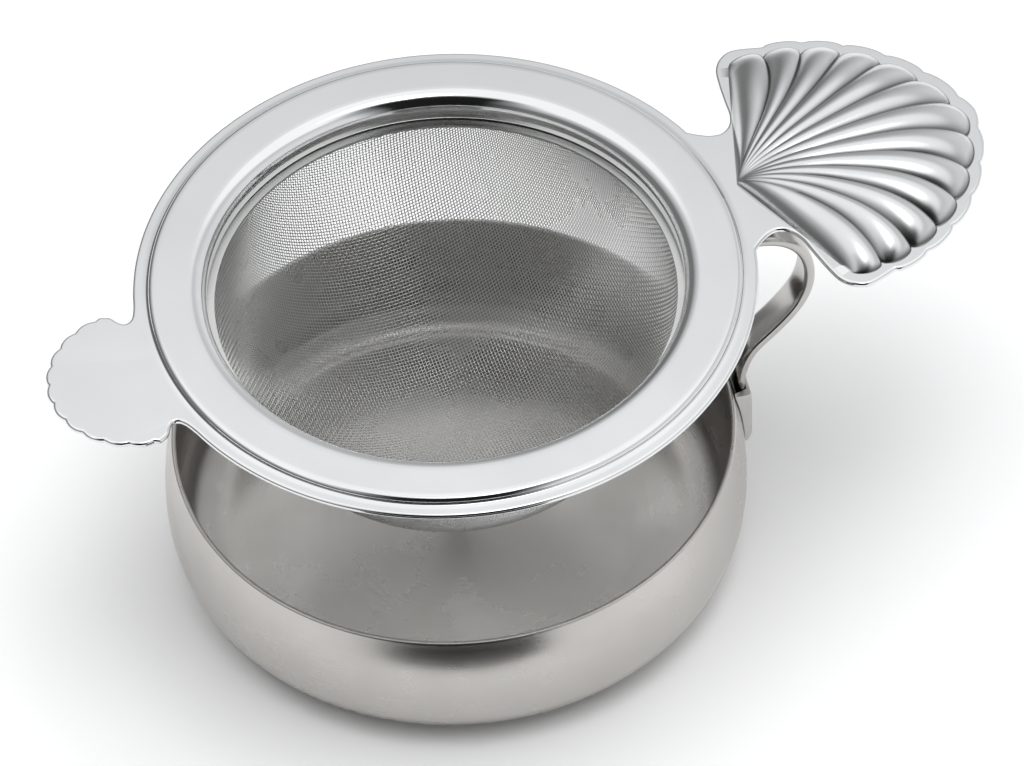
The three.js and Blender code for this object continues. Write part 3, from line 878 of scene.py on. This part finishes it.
@dataclass
class ShellHandle:
    """The raised scallop shell on the rim plate.

    Attributes:
        root: distance of its beak from the strainer's axis.
        length: from the beak to the tip.
        spread: degrees from its middle to either side.
        border: width of the flat border.
        rise: height of the body above the border.
        flutes: number of flutes.
        flute_rise: height of a flute as a share of its width.
        skew: degrees that the flutes' ends lean to one side.
        side_loss: how much shorter the sides are, as a share, and its power.
        along_shape: how square the hump is from beak to tip.
        across_shape: how square it is from side to side.
        gather: share of the spread that the flutes fill at the beak, and its power.
        widest_flute: width that counts for a flute's height, at most.
        foot_lobe: how far the raised shell draws back between two flutes.
        edge_lobe: how far the outline does.
        groove_power: how narrow the shaded grooves are.
        foot_dark: share of the rows where the shaded foot starts.
        foot_steepness: how fast it darkens from there.
        flute_columns: columns of the grid in a flute.
        grid_rows: rows of the grid, and the power that crowds them.
        lobe_steps: chords of half the outline's lobes.
        side_knots: the outline's side, as shares of the length.
    """

    root: float = 39.5
    length: float = 33.0
    spread: float = 70.0
    border: float = 1.6
    rise: float = 3.4
    flutes: int = 13
    flute_rise: float = 0.15
    skew: float = -2.6
    side_loss: Point2 = (0.297, 1.25)
    along_shape: Point2 = (2.8, 0.6)
    across_shape: Point2 = (3, 0.7)
    gather: Point2 = (0.80, 2.5)
    widest_flute: float = 0.2
    foot_lobe: float = 1.2
    edge_lobe: float = 0.6
    # groove_power: how narrow the painted shade in the grooves is.
    groove_power: float = 5
    # foot_dark: share of the rows where the painted shade round the foot starts.
    foot_dark: float = 0.88
    foot_steepness: float = 2
    flute_columns: int = 16
    grid_rows: tuple[int, float] = (72, 0.9)
    lobe_steps: int = 80
    side_knots: tuple[Point2, ...] = (
        (-0.064, 0.333), (-0.03, 0.306), (0.012, 0.282), (0.055, 0.277), (0.094, 0.303),
        (0.118, 0.352), (0.13, 0.43), (0.145, 0.521), (0.165, 0.597), (0.206, 0.647),
        (0.268, 0.667), (0.33, 0.658))

    def outer(self) -> float:
        """Where the outermost flute on a side begins, from 0 to 1 across."""
        return 1 - 2 / self.flutes

    def gathered(self, share: float) -> float:
        """Share of the spread that the flutes fill, at a share of their length."""
        least, power = self.gather
        return least + (1 - least) * share ** power

    def place_in_flute(self, across: float) -> float:
        """Where a place across the shell lies in its flute, from -1 to 1."""
        place = (across + 1) / 2 * self.flutes
        return 2 * (place - min(math.floor(place), self.flutes - 1)) - 1

    def reach(self, across: float, lobe: float) -> float:
        """How far the shell reaches, with its edge drawn in between flutes.

        Args:
            across: from -1 to 1 across the shell.
            lobe: depth of the edge's lobes.

        Returns:
            Distance from the beak.
        """
        drawn = 1 - max(0.0, 1 - self.place_in_flute(across) ** 2) ** 0.5
        loss, power = self.side_loss
        return self.length * (1 - loss * abs(across) ** power) - lobe * drawn

    def spot(self, distance: float, bearing: float) -> Point2:
        """A place at a distance from the beak, in a direction from -1 to 1."""
        angle = math.radians(self.spread * bearing)
        return (self.root + distance * math.cos(angle), distance * math.sin(angle))

    def bearing(self, across: float, share: float) -> float:
        """Direction of a line that flares out towards the edge.

        Args:
            across: where it ends across the edge, from -1 to 1.
            share: how far along it, from 0 to 1.

        Returns:
            The direction, from -1 to 1.
        """
        outer, gathered = self.outer(), self.gathered(share)
        if abs(across) <= outer:
            turned = across * gathered
        else:
            blend = (abs(across) - outer) / (1 - outer)
            turned = math.copysign(outer * gathered * (1 - blend) + blend, across)
        lean = self.skew / self.spread * share ** 2
        return turned + lean * max(0.0, 1 - turned ** 2)

    def height(self, across: float, share: float) -> float:
        """Height of the raised shell over its border."""
        turned = min(1.0, abs(self.bearing(across, share)))
        square, blunt = self.along_shape
        lengthwise = max(0.0, 1 - abs(2 * share - 1) ** square) ** blunt
        square, blunt = self.across_shape
        crosswise = max(0.0, 1 - turned ** square) ** blunt
        step = 2 / self.flutes * self.gathered(share)
        if abs(across) > self.outer():
            step = 1 - self.outer() * self.gathered(share)
        step = min(step, self.widest_flute)
        width = share * self.length * math.radians(self.spread) * step
        hump = 1 - self.place_in_flute(across) ** 2
        return (self.rise * crosswise + self.flute_rise * width * hump) * lengthwise

    def satin_and_shade(self, across: float, along: float) -> float:
        """How much painted shade a place on the shell gets, by how deep in a groove it lies.

        Args:
            across: from -1 to 1 across the shell.
            along: its row's number as a share of all, from the beak to the foot.

        Returns:
            A little on the flutes, and 1 in the grooves and round the foot, where the painted
            shade is darkest.
        """
        groove = abs(self.place_in_flute(across)) ** self.groove_power
        foot = max(0.0, (along - self.foot_dark) / (1 - self.foot_dark))
        foot = min(1.0, foot * self.foot_steepness)
        return SATIN_AND_FAINT_SHADE + (1 - SATIN_AND_FAINT_SHADE) * max(groove, foot)

    def grid(self) -> list[list[Point3]]:
        """The raised shell's points over its border, row by row from the beak."""
        columns = self.flutes * self.flute_columns
        count, power = self.grid_rows
        shares = [0.5 - 0.5 * math.cos(math.pi * (i / count) ** power)
                  for i in range(1, count)] + [1.0]
        rows = []
        for share in shares:
            row = []
            for i in range(columns + 1):
                across = 2 * i / columns - 1
                foot = self.reach(across, self.foot_lobe) - self.border
                x, y = self.spot(share * foot, self.bearing(across, share))
                row.append((x, y, self.height(across, share)))
            rows.append(row)
        return rows

    def foot(self, rows: list[list[Point3]]) -> list[Point2]:
        """The closed line where the raised shell meets its border, from its grid."""
        beak = [(self.root, 0.0)]
        up = [row[0][:2] for row in rows]
        down = [row[-1][:2] for row in reversed(rows)]
        return [*beak, *up, *[p[:2] for p in rows[-1][1:-1]], *down]

    def edge(self) -> list[Point2]:
        """The outline's upper half, from the tip round the corner to the lip."""
        lobes = []
        for i in range(self.lobe_steps + 1):
            across = self.outer() * i / self.lobe_steps
            lobes.append(self.spot(self.reach(across, self.edge_lobe), across))
        knots = [(self.root + x * self.length, y * self.length) for x, y in self.side_knots]
        return lobes + smooth_line([lobes[-1], *reversed(knots[:-1])], KNOT_STEPS)[1:]


@dataclass
class RestTab:
    """The flat scalloped tab opposite the handle.

    Attributes:
        centre: distance of its middle from the axis.
        radius: to the tips of its scallops.
        scallops: how many would go all the way round.
        scallop: their depth.
        scallop_power: how sharp the dips between them are.
        start: degrees from the handle's direction where they begin.
        steps: chords along them.
        notch: knots of the outline from the lip to there.
    """

    centre: float = 41.0
    radius: float = 11.2
    scallops: int = 22
    scallop: float = 0.35
    scallop_power: float = 0.8
    start: float = 97.0
    steps: int = 96
    notch: tuple[Point2, ...] = (
        (-37.55, 10.75), (-38.0, 9.75), (-38.55, 9.05), (-39.3, 8.85), (-39.95, 9.45),
        (-40.6, 10.5), (-41.9, 11.12))

    def edge(self) -> list[Point2]:
        """The outline's upper half, from the lip round the notch to the tab's tip."""
        line = smooth_line(self.notch, KNOT_STEPS)
        for i in range(1, self.steps + 1):
            angle = math.radians(self.start + (180 - self.start) * i / self.steps)
            wave = abs(math.sin(angle * self.scallops / 2)) ** self.scallop_power
            radius = self.radius - self.scallop * (1 - wave)
            line.append((-self.centre + radius * math.cos(angle), radius * math.sin(angle)))
        return line


@dataclass
class RimPlate:
    """The pressed plate: ring, collar, lip, shell handle and rest tab in one sheet.

    Attributes:
        sheet: its thickness.
        lip_radius: of the lower lip's outline.
        lip_top: height of the lip, the shell's border and the tab.
        flat_radius: outside of the raised ring.
        flat_top: its height.
        shoulder: round of its outer edge.
        lip_fillet: round between that step and the lip.
        flat_ends: how far the level part stays from the edge and from the bead's middle.
        bead: round of the bead that leads down into the collar.
        collar: inner radius of the collar.
        collar_foot: its lower edge.
        recess_round: small slopes in the recess under the ring.
        join: radius where the turned ring meets the flat outline.
        join_gap: degrees left free where the lip meets the shell and the tab.
        edge_round: round of the outline's edge.
        border: how far the flat region stays inside that round.
    """

    sheet: float = 0.8
    lip_radius: float = 39.0
    lip_top: float = 47.4
    flat_radius: float = 37.15
    flat_top: float = 48.2
    shoulder: float = 0.75
    lip_fillet: float = 0.22
    flat_ends: Point2 = (1.2, 0.6)
    bead: float = 2.02
    collar: float = 29.85
    collar_foot: float = 44.6
    recess_round: tuple[float, float, float] = (0.3, 0.15, 0.1)
    join: float = 38.0
    join_gap: float = 1.0
    edge_round: float = 0.38
    edge_steps: int = 6
    border: float = 0.06
    lip_steps: int = 150
    segments: int = 320
    shell: ShellHandle = field(default_factory=ShellHandle)
    tab: RestTab = field(default_factory=RestTab)

    def outline(self) -> list[Point2]:
        """The plate's whole outline, anticlockwise from the shell's tip."""
        half = self.shell.edge()
        start = math.degrees(math.atan2(half[-1][1], half[-1][0]))
        tab = self.tab.edge()
        end = math.degrees(math.atan2(tab[0][1], tab[0][0]))
        half += arc((0.0, 0.0), self.lip_radius, start + self.join_gap, end - self.join_gap,
                    self.lip_steps)
        half += tab
        lower = [(x, -y) for x, y in reversed(half[1:-1])]
        return half + lower

    def ring_profile(self) -> list[Point2]:
        """The ring's section from the lip over the flat and the bead, round and back."""
        centre = self.collar + self.bead
        level = self.flat_top - self.bead
        shoulder = (self.flat_radius - self.shoulder, self.flat_top - self.shoulder)
        recess = self.flat_radius - self.sheet
        foot_round = self.sheet / 2
        fillet, (outer_end, inner_end) = self.lip_fillet, self.flat_ends
        wide, middling, small = self.recess_round
        return [
            (self.join, self.lip_top),
            *arc((self.flat_radius + fillet, self.lip_top + fillet), fillet, 270, 180, 5),
            *arc(shoulder, self.shoulder, 0, 90, 10),
            (self.flat_radius - outer_end, self.flat_top),
            (centre + inner_end, self.flat_top),
            *arc((centre, level), self.bead, 90, 180, 20),
            *arc((self.collar + foot_round, self.collar_foot + foot_round), foot_round,
                 180, 360, 8),
            *arc((centre, level), self.bead - self.sheet, 180, 90, 10),
            (recess - wide, self.flat_top - self.sheet),
            (recess, self.flat_top - self.sheet - middling),
            (recess, self.lip_top - self.sheet + small),
            (recess + middling, self.lip_top - self.sheet),
            (self.join, self.lip_top - self.sheet),
        ]

    def flat_faces(self, loops: list[list[Point2]]) -> tuple[list[Point2], list[tuple]]:
        """Triangles of the flat region between closed loops.

        Args:
            loops: the outer loop first, then the holes.

        Returns:
            The points and the triangles.
        """
        points = [Vector(p) for loop in loops for p in loop]
        edges = []
        start = 0
        for loop in loops:
            count = len(loop)
            edges += [(start + i, start + (i + 1) % count) for i in range(count)]
            start += count
        found, _, faces, *_ = delaunay_2d_cdt(points, edges, [], 0, 1e-7)
        kept = []
        for face in faces:
            middle = sum((found[i] for i in face), Vector((0.0, 0.0))) / len(face)
            if not inside(middle, loops[0]):
                continue
            if not any(inside(middle, hole) for hole in loops[1:]):
                kept.append(tuple(face))
        return [tuple(p) for p in found], kept

    def mesh(self) -> bpy.types.Mesh:
        """The whole plate as one closed sheet."""
        surface = Surface()
        surface.turned(self.ring_profile(), self.segments, closed=False)
        outline = self.outline()
        top, bottom = self.lip_top, self.lip_top - self.sheet
        flat = drawn_in(outline, self.edge_round + self.border)
        turns = [math.radians(90 * i / self.edge_steps) for i in range(self.edge_steps + 1)]
        edge = [(self.edge_round * (1 - math.sin(turn)), self.edge_round * (1 - math.cos(turn)))
                for turn in turns]
        levels = [(inset, top - drop) for inset, drop in edge]
        levels += [(inset, bottom + drop) for inset, drop in reversed(edge)]
        rows = [surface.row([(x, y, top) for x, y in flat])]
        for inset, level in levels:
            rows.append(surface.row([(x, y, level) for x, y in drawn_in(outline, inset)]))
        rows.append(surface.row([(x, y, bottom) for x, y in flat]))
        for first, second in zip(rows, rows[1:]):
            surface.strip(first, second, closed=True)
        ring = [(self.join * math.cos(math.tau * i / self.segments),
                 self.join * math.sin(math.tau * i / self.segments))
                for i in range(self.segments)]
        grid = self.shell.grid()
        points, faces = self.flat_faces([flat, ring, self.shell.foot(grid)])
        for level in (top, bottom):
            here = surface.row([(x, y, level) for x, y in points])
            surface.faces += [tuple(here[i] for i in face) for face in faces]
            beak = surface.row([(self.shell.root, 0.0, level)])[0]
            raised = [surface.row([(x, y, level + z) for x, y, z in row]) for row in grid]
            # painted shade of the grooves and the foot, kept per point for the shell's colour
            for number, row in enumerate(raised[:-1]):
                last, along = len(row) - 1, number / len(raised)
                surface.satin_and_shade.update((row[i], self.shell.satin_and_shade(2 * i / last - 1, along))
                                      for i in range(1, last))
            for first, second in zip(raised, raised[1:]):
                surface.strip(first, second)
            surface.faces += [(beak, a, b) for a, b in zip(raised[0], raised[0][1:])]
        return surface.mesh("pressed_rim_plate", sharp=50.0)

    def build(self, shop: Workshop) -> None:
        """Make and place the plate."""
        shop.place(self.mesh(), PRESSED_PLATE, Body.STRAINER, "polished_steel", "rim_plate")


@dataclass
class WireBasket:
    """Woven wire draped to a hemisphere, with its turned-up hem.

    Attributes:
        radius: of the hemisphere to the middle of the mesh.
        depth: from the hem down to the lowest wire.
        level: height of the hem.
        pitch: from wire to wire.
        wire: wire radius.
        crimp: how far a wire bends over and under the ones it crosses.
        wire_sides: facets round a wire.
        spare: wires laid out beyond the hemisphere's edge, for the drape.
        overrun: how far above that edge the drape is followed.
        fewest: crossings that a wire needs to be kept.
        hem_inner: inside of the turned-up hem.
        hem_outer: its outside.
        hem_top: its upper edge.
        ledge_inset: how far the hem's ledge reaches in over the wires.
        ledge: its underside and top, over the level.
    """

    radius: float = 29.2
    depth: float = 29.7
    level: float = 44.05
    pitch: float = 0.42
    wire: float = 0.075
    crimp: float = 0.066
    wire_sides: int = 3
    spare: int = 8
    overrun: float = 3.0
    fewest: int = 4
    hem_inner: float = 30.8
    hem_outer: float = 31.2
    hem_top: float = 45.95
    ledge_inset: float = 0.25
    ledge: Point2 = (-0.05, 0.35)
    segments: int = 192

    def crossings(self) -> dict[tuple[int, int], Vector]:
        """Where the wires of one quarter cross, when square cloth is draped over the dome.

        Returns:
            The places on a sphere of the basket's radius, by wire numbers.
        """
        count = int(self.radius * math.pi / 2 / self.pitch) + self.spare
        bend = 2 * math.asin(self.pitch / 2 / self.radius)
        found: dict[tuple[int, int], Vector] = {}
        for i in range(count + 1):
            side, down = self.radius * math.sin(bend * i), -self.radius * math.cos(bend * i)
            found[i, 0], found[0, i] = Vector((side, 0.0, down)), Vector((0.0, side, down))
        square = self.radius ** 2
        for i in range(1, count + 1):
            for j in range(1, count + 1):
                left, below = found.get((i - 1, j)), found.get((i, j - 1))
                if left is None or below is None or (
                        min(left.z, below.z) > self.overrun):
                    continue
                share = (square - self.pitch ** 2 / 2) / (square + left.dot(below))
                middle = (left + below) * share
                out = left.cross(below)
                rest = square - middle.length_squared
                if rest < 0:
                    continue
                out *= math.sqrt(rest / out.length_squared)
                behind = found[i - 1, j - 1]
                found[i, j] = max((middle + out, middle - out),
                                  key=lambda place: (place - behind).length)
        return found

    def wires(self, quarter: dict[tuple[int, int], Vector], across: bool) -> Surface:
        """Lay one way's wires over and under the ones that they cross.

        Args:
            quarter: where the wires of one quarter cross.
            across: which of the two ways the wires run.

        Returns:
            The wires.
        """
        surface = Surface()
        count = max(i for i, _ in quarter)
        for i in range(-count, count + 1):
            run: list[Vector] = []
            for j in range(-count, count + 1):
                one, two = (j, i) if across else (i, j)
                place = quarter.get((abs(one), abs(two)))
                if place is None or place.z > 0:
                    continue
                place = Vector((math.copysign(place.x, one), math.copysign(place.y, two),
                                place.z))
                side = 1 if (i + j + across) % 2 == 0 else -1
                run.append(place + place.normalized() * self.crimp * side)
            self.wire_along(surface, run)
        return surface

    def wire_along(self, surface: Surface, run: list[Vector]) -> None:
        """Give a run of places the thickness of a wire.

        Args:
            surface: where the faces go.
            run: the wire's middle line on the sphere.
        """
        if len(run) < self.fewest:
            return
        squash = self.depth / self.radius
        rows = []
        for k, place in enumerate(run):
            along = (run[min(k + 1, len(run) - 1)] - run[max(k - 1, 0)]).normalized()
            beside = along.cross(place).normalized()
            out = beside.cross(along)
            ring = []
            for m in range(self.wire_sides):
                angle = math.tau * m / self.wire_sides
                spot = place + (out * math.cos(angle) + beside * math.sin(angle)) * self.wire
                ring.append((spot.x, spot.y, self.level + spot.z * squash))
            rows.append(surface.row(ring))
        for first, second in zip(rows, rows[1:]):
            surface.strip(first, second, closed=True)
        surface.faces += [tuple(rows[0]), tuple(rows[-1])]

    def build(self, shop: Workshop) -> None:
        """Make and place the wires and the hem."""
        quarter = self.crossings()
        for name, across in (("basket_warp_wires", False), ("basket_weft_wires", True)):
            mesh = self.wires(quarter, across).mesh(name, sharp=180.0)
            shop.place(mesh, WIRE, Body.STRAINER, "woven_mesh", "mesh_basket")
        hem = Surface()
        low, high = (self.level + offset for offset in self.ledge)
        rim = self.radius - self.ledge_inset
        profile = [(rim, low), (self.hem_outer, low), (self.hem_outer, self.hem_top),
                   (self.hem_inner, self.hem_top), (self.hem_inner, high), (rim, high)]
        hem.turned(profile, self.segments, closed=True)
        shop.place(hem.mesh("basket_hem"), WIRE, Body.STRAINER, "woven_mesh")


@dataclass
class ClampRing:
    """The band crimped round the collar, over the mesh's hem."""

    inner: float = 31.35
    outer: float = 31.95
    bottom: float = 43.3
    top: float = 45.95
    lip_inner: float = 30.4
    sheet: float = 0.6
    slopes: tuple[float, float, float] = (0.15, 0.12, 0.1)
    segments: int = 256

    def build(self, shop: Workshop) -> None:
        """Make and place the ring."""
        surface = Surface()
        shelf = self.bottom + self.sheet
        under, upper, inner = self.slopes
        profile = [
            (self.lip_inner, self.bottom + under), (self.lip_inner + under, self.bottom),
            *arc((self.outer - self.sheet, shelf), self.sheet, 270, 360, 8),
            (self.outer, self.top - upper), (self.outer - upper, self.top),
            (self.inner + upper, self.top), (self.inner, self.top - upper), (self.inner, shelf),
            (self.lip_inner + inner, shelf), (self.lip_inner, shelf - inner)]
        surface.turned(profile, self.segments, closed=True)
        shop.place(surface.mesh("crimped_clamp", sharp=60.0), CRIMPED, Body.SEAT, "satin_steel",
                   "clamp_ring")


# ---------------------------------------------------------------- studio


@dataclass
class Studio:
    """A pale floor, soft light and the camera.

    Attributes:
        elevation: degrees that the camera looks down.
        roll: degrees that it leans.
        distance: millimetres from the camera to the point that it looks at.
        target: that point, in the camera's own heading, over the bowl's rim.
        rim_level: height of that rim.
        turn: degrees from that heading to the model's.
        focal: lens in millimetres.
        sensor: width of the picture behind the lens, in millimetres.
        aim_height: height that the lamps are aimed at, in metres.
        floor_half: half the floor's side, in metres.
        floor_drop: how far the floor lies under the bowl, in metres.
        floor_tones: greys of the floor.
        card: black card before the bowl: half its width, distance, lower and upper edge.
        card_tone: its grey.
        top: light from straight above.
        back: light from above and behind.
        dim_side: low light from the left.
        bright_side: low light from the right.
        behind_camera: the dark zone behind the camera.
        side_range: from where to where the sides change over, in the view's direction.
        back_range: how steep that light begins and is full.
        top_range: how steep the light from above begins and is full.
        front_range: how far forward the dark zone is full and ends.
        narrow_range: how far aside it is full and ends.
    """

    elevation: float = 48.529
    roll: float = -2.663
    distance: float = 900.0
    target: Point2 = (7.716, 7.073)
    rim_level: float = 19.0
    turn: float = -20.0
    focal: float = 246.78
    sensor: float = 36.0
    aim_height: float = 0.03
    floor_half: float = 12.0
    floor_drop: float = 0.0002
    floor_tones: Point2 = (0.93, 0.91)
    card: tuple[float, float, float, float] = (0.024, 0.060, 0.001, 0.045)
    card_tone: float = 0.006
    top: Point3 = (1.16, 1.17, 1.18)
    back: Point3 = (0.68, 0.69, 0.70)
    dim_side: Point3 = (0.20, 0.20, 0.20)
    bright_side: Point3 = (0.85, 0.86, 0.87)
    behind_camera: Point3 = (0.012, 0.012, 0.012)
    side_range: Point2 = (-0.3, 0.5)
    back_range: Point2 = (0.40, 0.68)
    top_range: Point2 = (0.69, 0.79)
    front_range: Point2 = (-0.42, -0.22)
    narrow_range: Point2 = (0.30, 0.55)

    def heading(self) -> Matrix:
        """The turn from the camera's heading to the model's."""
        return Matrix.Rotation(math.radians(self.turn), 3, "Z")

    def camera(self) -> None:
        """Set the camera up."""
        e, roll = math.radians(self.elevation), math.radians(self.roll)
        back = Vector((0.0, -math.cos(e), math.sin(e)))
        right = Vector((1.0, 0.0, 0.0))
        up = Vector((0.0, math.sin(e), math.cos(e)))
        leaning_right = right * math.cos(roll) + up * math.sin(roll)
        leaning_up = up * math.cos(roll) - right * math.sin(roll)
        place = Vector((*self.target, 0.0)) + back * self.distance
        turn = self.heading()
        place = turn @ place + Vector((0.0, 0.0, self.rim_level))
        axes = Matrix([turn @ leaning_right, turn @ leaning_up, turn @ back]).transposed()
        lens = bpy.data.cameras.new("studio_camera")
        lens.sensor_width = self.sensor
        lens.lens = self.focal
        lens.clip_start = 0.01
        lens.clip_end = 100.0
        camera = set_out("studio_camera", lens)
        camera.matrix_world = Matrix.Translation(place * MM) @ axes.to_4x4()
        bpy.context.scene.camera = camera

    def paper(self, name: str, material: str, cells: int, placed: Matrix,
              sheen: float) -> tuple[bpy.types.Object, ShaderNet, bpy.types.NodeSocket]:
        """Set out a flat sheet of matt paper.

        Args:
            name: the sheet's name.
            material: its material's name.
            cells: how many cells it has along a side.
            placed: where a unit sheet goes.
            sheen: how glossy it is.

        Returns:
            The sheet, its material's net and the socket of its colour.
        """
        work = bmesh.new()
        bmesh.ops.create_grid(work, x_segments=cells, y_segments=cells, size=0.5)
        bmesh.ops.transform(work, matrix=placed, verts=work.verts)
        mesh = bpy.data.meshes.new(name)
        work.to_mesh(mesh)
        work.free()
        piece = set_out(name, mesh)
        matt = bpy.data.materials.new(material)
        matt.use_nodes = True
        steps = matt.node_tree.nodes["Principled BSDF"].inputs
        steps["Roughness"].default_value = 0.9
        steps["Specular IOR Level"].default_value = sheen
        mesh.materials.append(matt)
        return piece, ShaderNet(matt.node_tree), steps["Base Color"]

    def floor(self) -> None:
        """Lay the pale floor."""
        unit_to_floor = Matrix.Scale(self.floor_half * 2, 4)
        piece, net, colour = self.paper("studio_floor", "pale_floor", cells=8,
                                        placed=unit_to_floor, sheen=0.1)
        piece.location.z = -self.floor_drop
        light, dark = ((tone,) * 3 for tone in self.floor_tones)
        clouds = net.noise(net.place(), scale=3.0, detail=2.0)
        net.feed(colour, net.mixed(clouds, light, dark))

    def lamp(self, name: str, place: Point3, size: Point2, watts: float,
             mirrored: bool = True) -> None:
        """Hang a soft box aimed at the strainer.

        Args:
            name: the lamp's name.
            place: metres, in the camera's heading.
            size: its two sides in metres.
            watts: its power.
            mirrored: whether the steel mirrors it.
        """
        light = bpy.data.lights.new(name, "AREA")
        light.shape = "RECTANGLE"
        light.size, light.size_y = size
        light.energy = watts
        lamp = set_out(name, light)
        lamp.visible_glossy = mirrored
        where = self.heading() @ Vector(place)
        aim = where - Vector((0.0, 0.0, self.aim_height))
        lamp.matrix_world = (Matrix.Translation(where)
                             @ aim.to_track_quat("Z", "Y").to_matrix().to_4x4())

    def flag(self) -> None:
        """Stand a black card before the bowl, seen only in the steel."""
        half, front, low, high = self.card
        corners = Matrix(((half * 2, 0.0, 0.0, 0.0), (0.0, 0.0, 0.0, -front),
                          (0.0, high - low, 0.0, (high + low) / 2), (0.0, 0.0, 0.0, 1.0)))
        card, _, colour = self.paper("studio_flag", "black_card", cells=2,
                                     placed=self.heading().to_4x4() @ corners, sheen=0.0)
        colour.default_value = (self.card_tone, self.card_tone, self.card_tone, 1.0)
        for seen in ("visible_camera", "visible_diffuse", "visible_transmission",
                     "visible_shadow"):
            setattr(card, seen, False)

    def room(self) -> None:
        """Light the room from above and from the right, dark behind the camera."""
        world = bpy.data.worlds.new("studio_room")
        bpy.context.scene.world = world
        world.use_nodes = True
        net = ShaderNet(world.node_tree)
        sky = world.node_tree.nodes["Background"]
        place = net.node("ShaderNodeTexCoord").outputs["Generated"]
        turned = net.node("ShaderNodeVectorRotate", rotation_type="Z_AXIS")
        turned.inputs["Angle"].default_value = -math.radians(self.turn)
        net.feed(turned.inputs["Vector"], place)
        side, ahead, up = net.split(turned.outputs[0])
        level = net.mixed(net.spread(side, *self.side_range, 0.0, 1.0),
                          self.dim_side, self.bright_side)
        for steepness, light in ((self.back_range, self.back), (self.top_range, self.top)):
            level = net.mixed(net.spread(up, *steepness, 0.0, 1.0), level, light)
        front = net.spread(ahead, *self.front_range, 1.0, 0.0)
        narrow = net.spread(net.sum("ABSOLUTE", side), *self.narrow_range, 1.0, 0.0)
        dark = net.sum("MULTIPLY", front, narrow)
        net.feed(sky.inputs["Color"], net.mixed(dark, level, self.behind_camera))

    def build(self) -> None:
        """Set up the floor, the lights and the camera."""
        self.floor()
        self.room()
        self.lamp("soft_box_top", place=(0.15, -0.1, 1.2), size=(0.5, 0.35), watts=1.2)
        self.lamp("floor_wash", place=(0.0, 0.0, 2.4), size=(3.0, 3.0), watts=42.0,
                  mirrored=False)
        self.flag()
        self.camera()
        bpy.context.scene.view_settings.view_transform = "Standard"


def main() -> None:
    """Build the stand, the strainer and the studio in order."""
    logging.basicConfig(level=logging.INFO, format="%(name)s %(message)s")
    Studio().build()
    shop = Workshop()
    for part in (DripBowl(), SocketLug(), EarArm(), HolderRing(), RimPlate(), WireBasket(),
                 ClampRing()):
        part.build(shop)


if __name__ == "__main__":
    main()
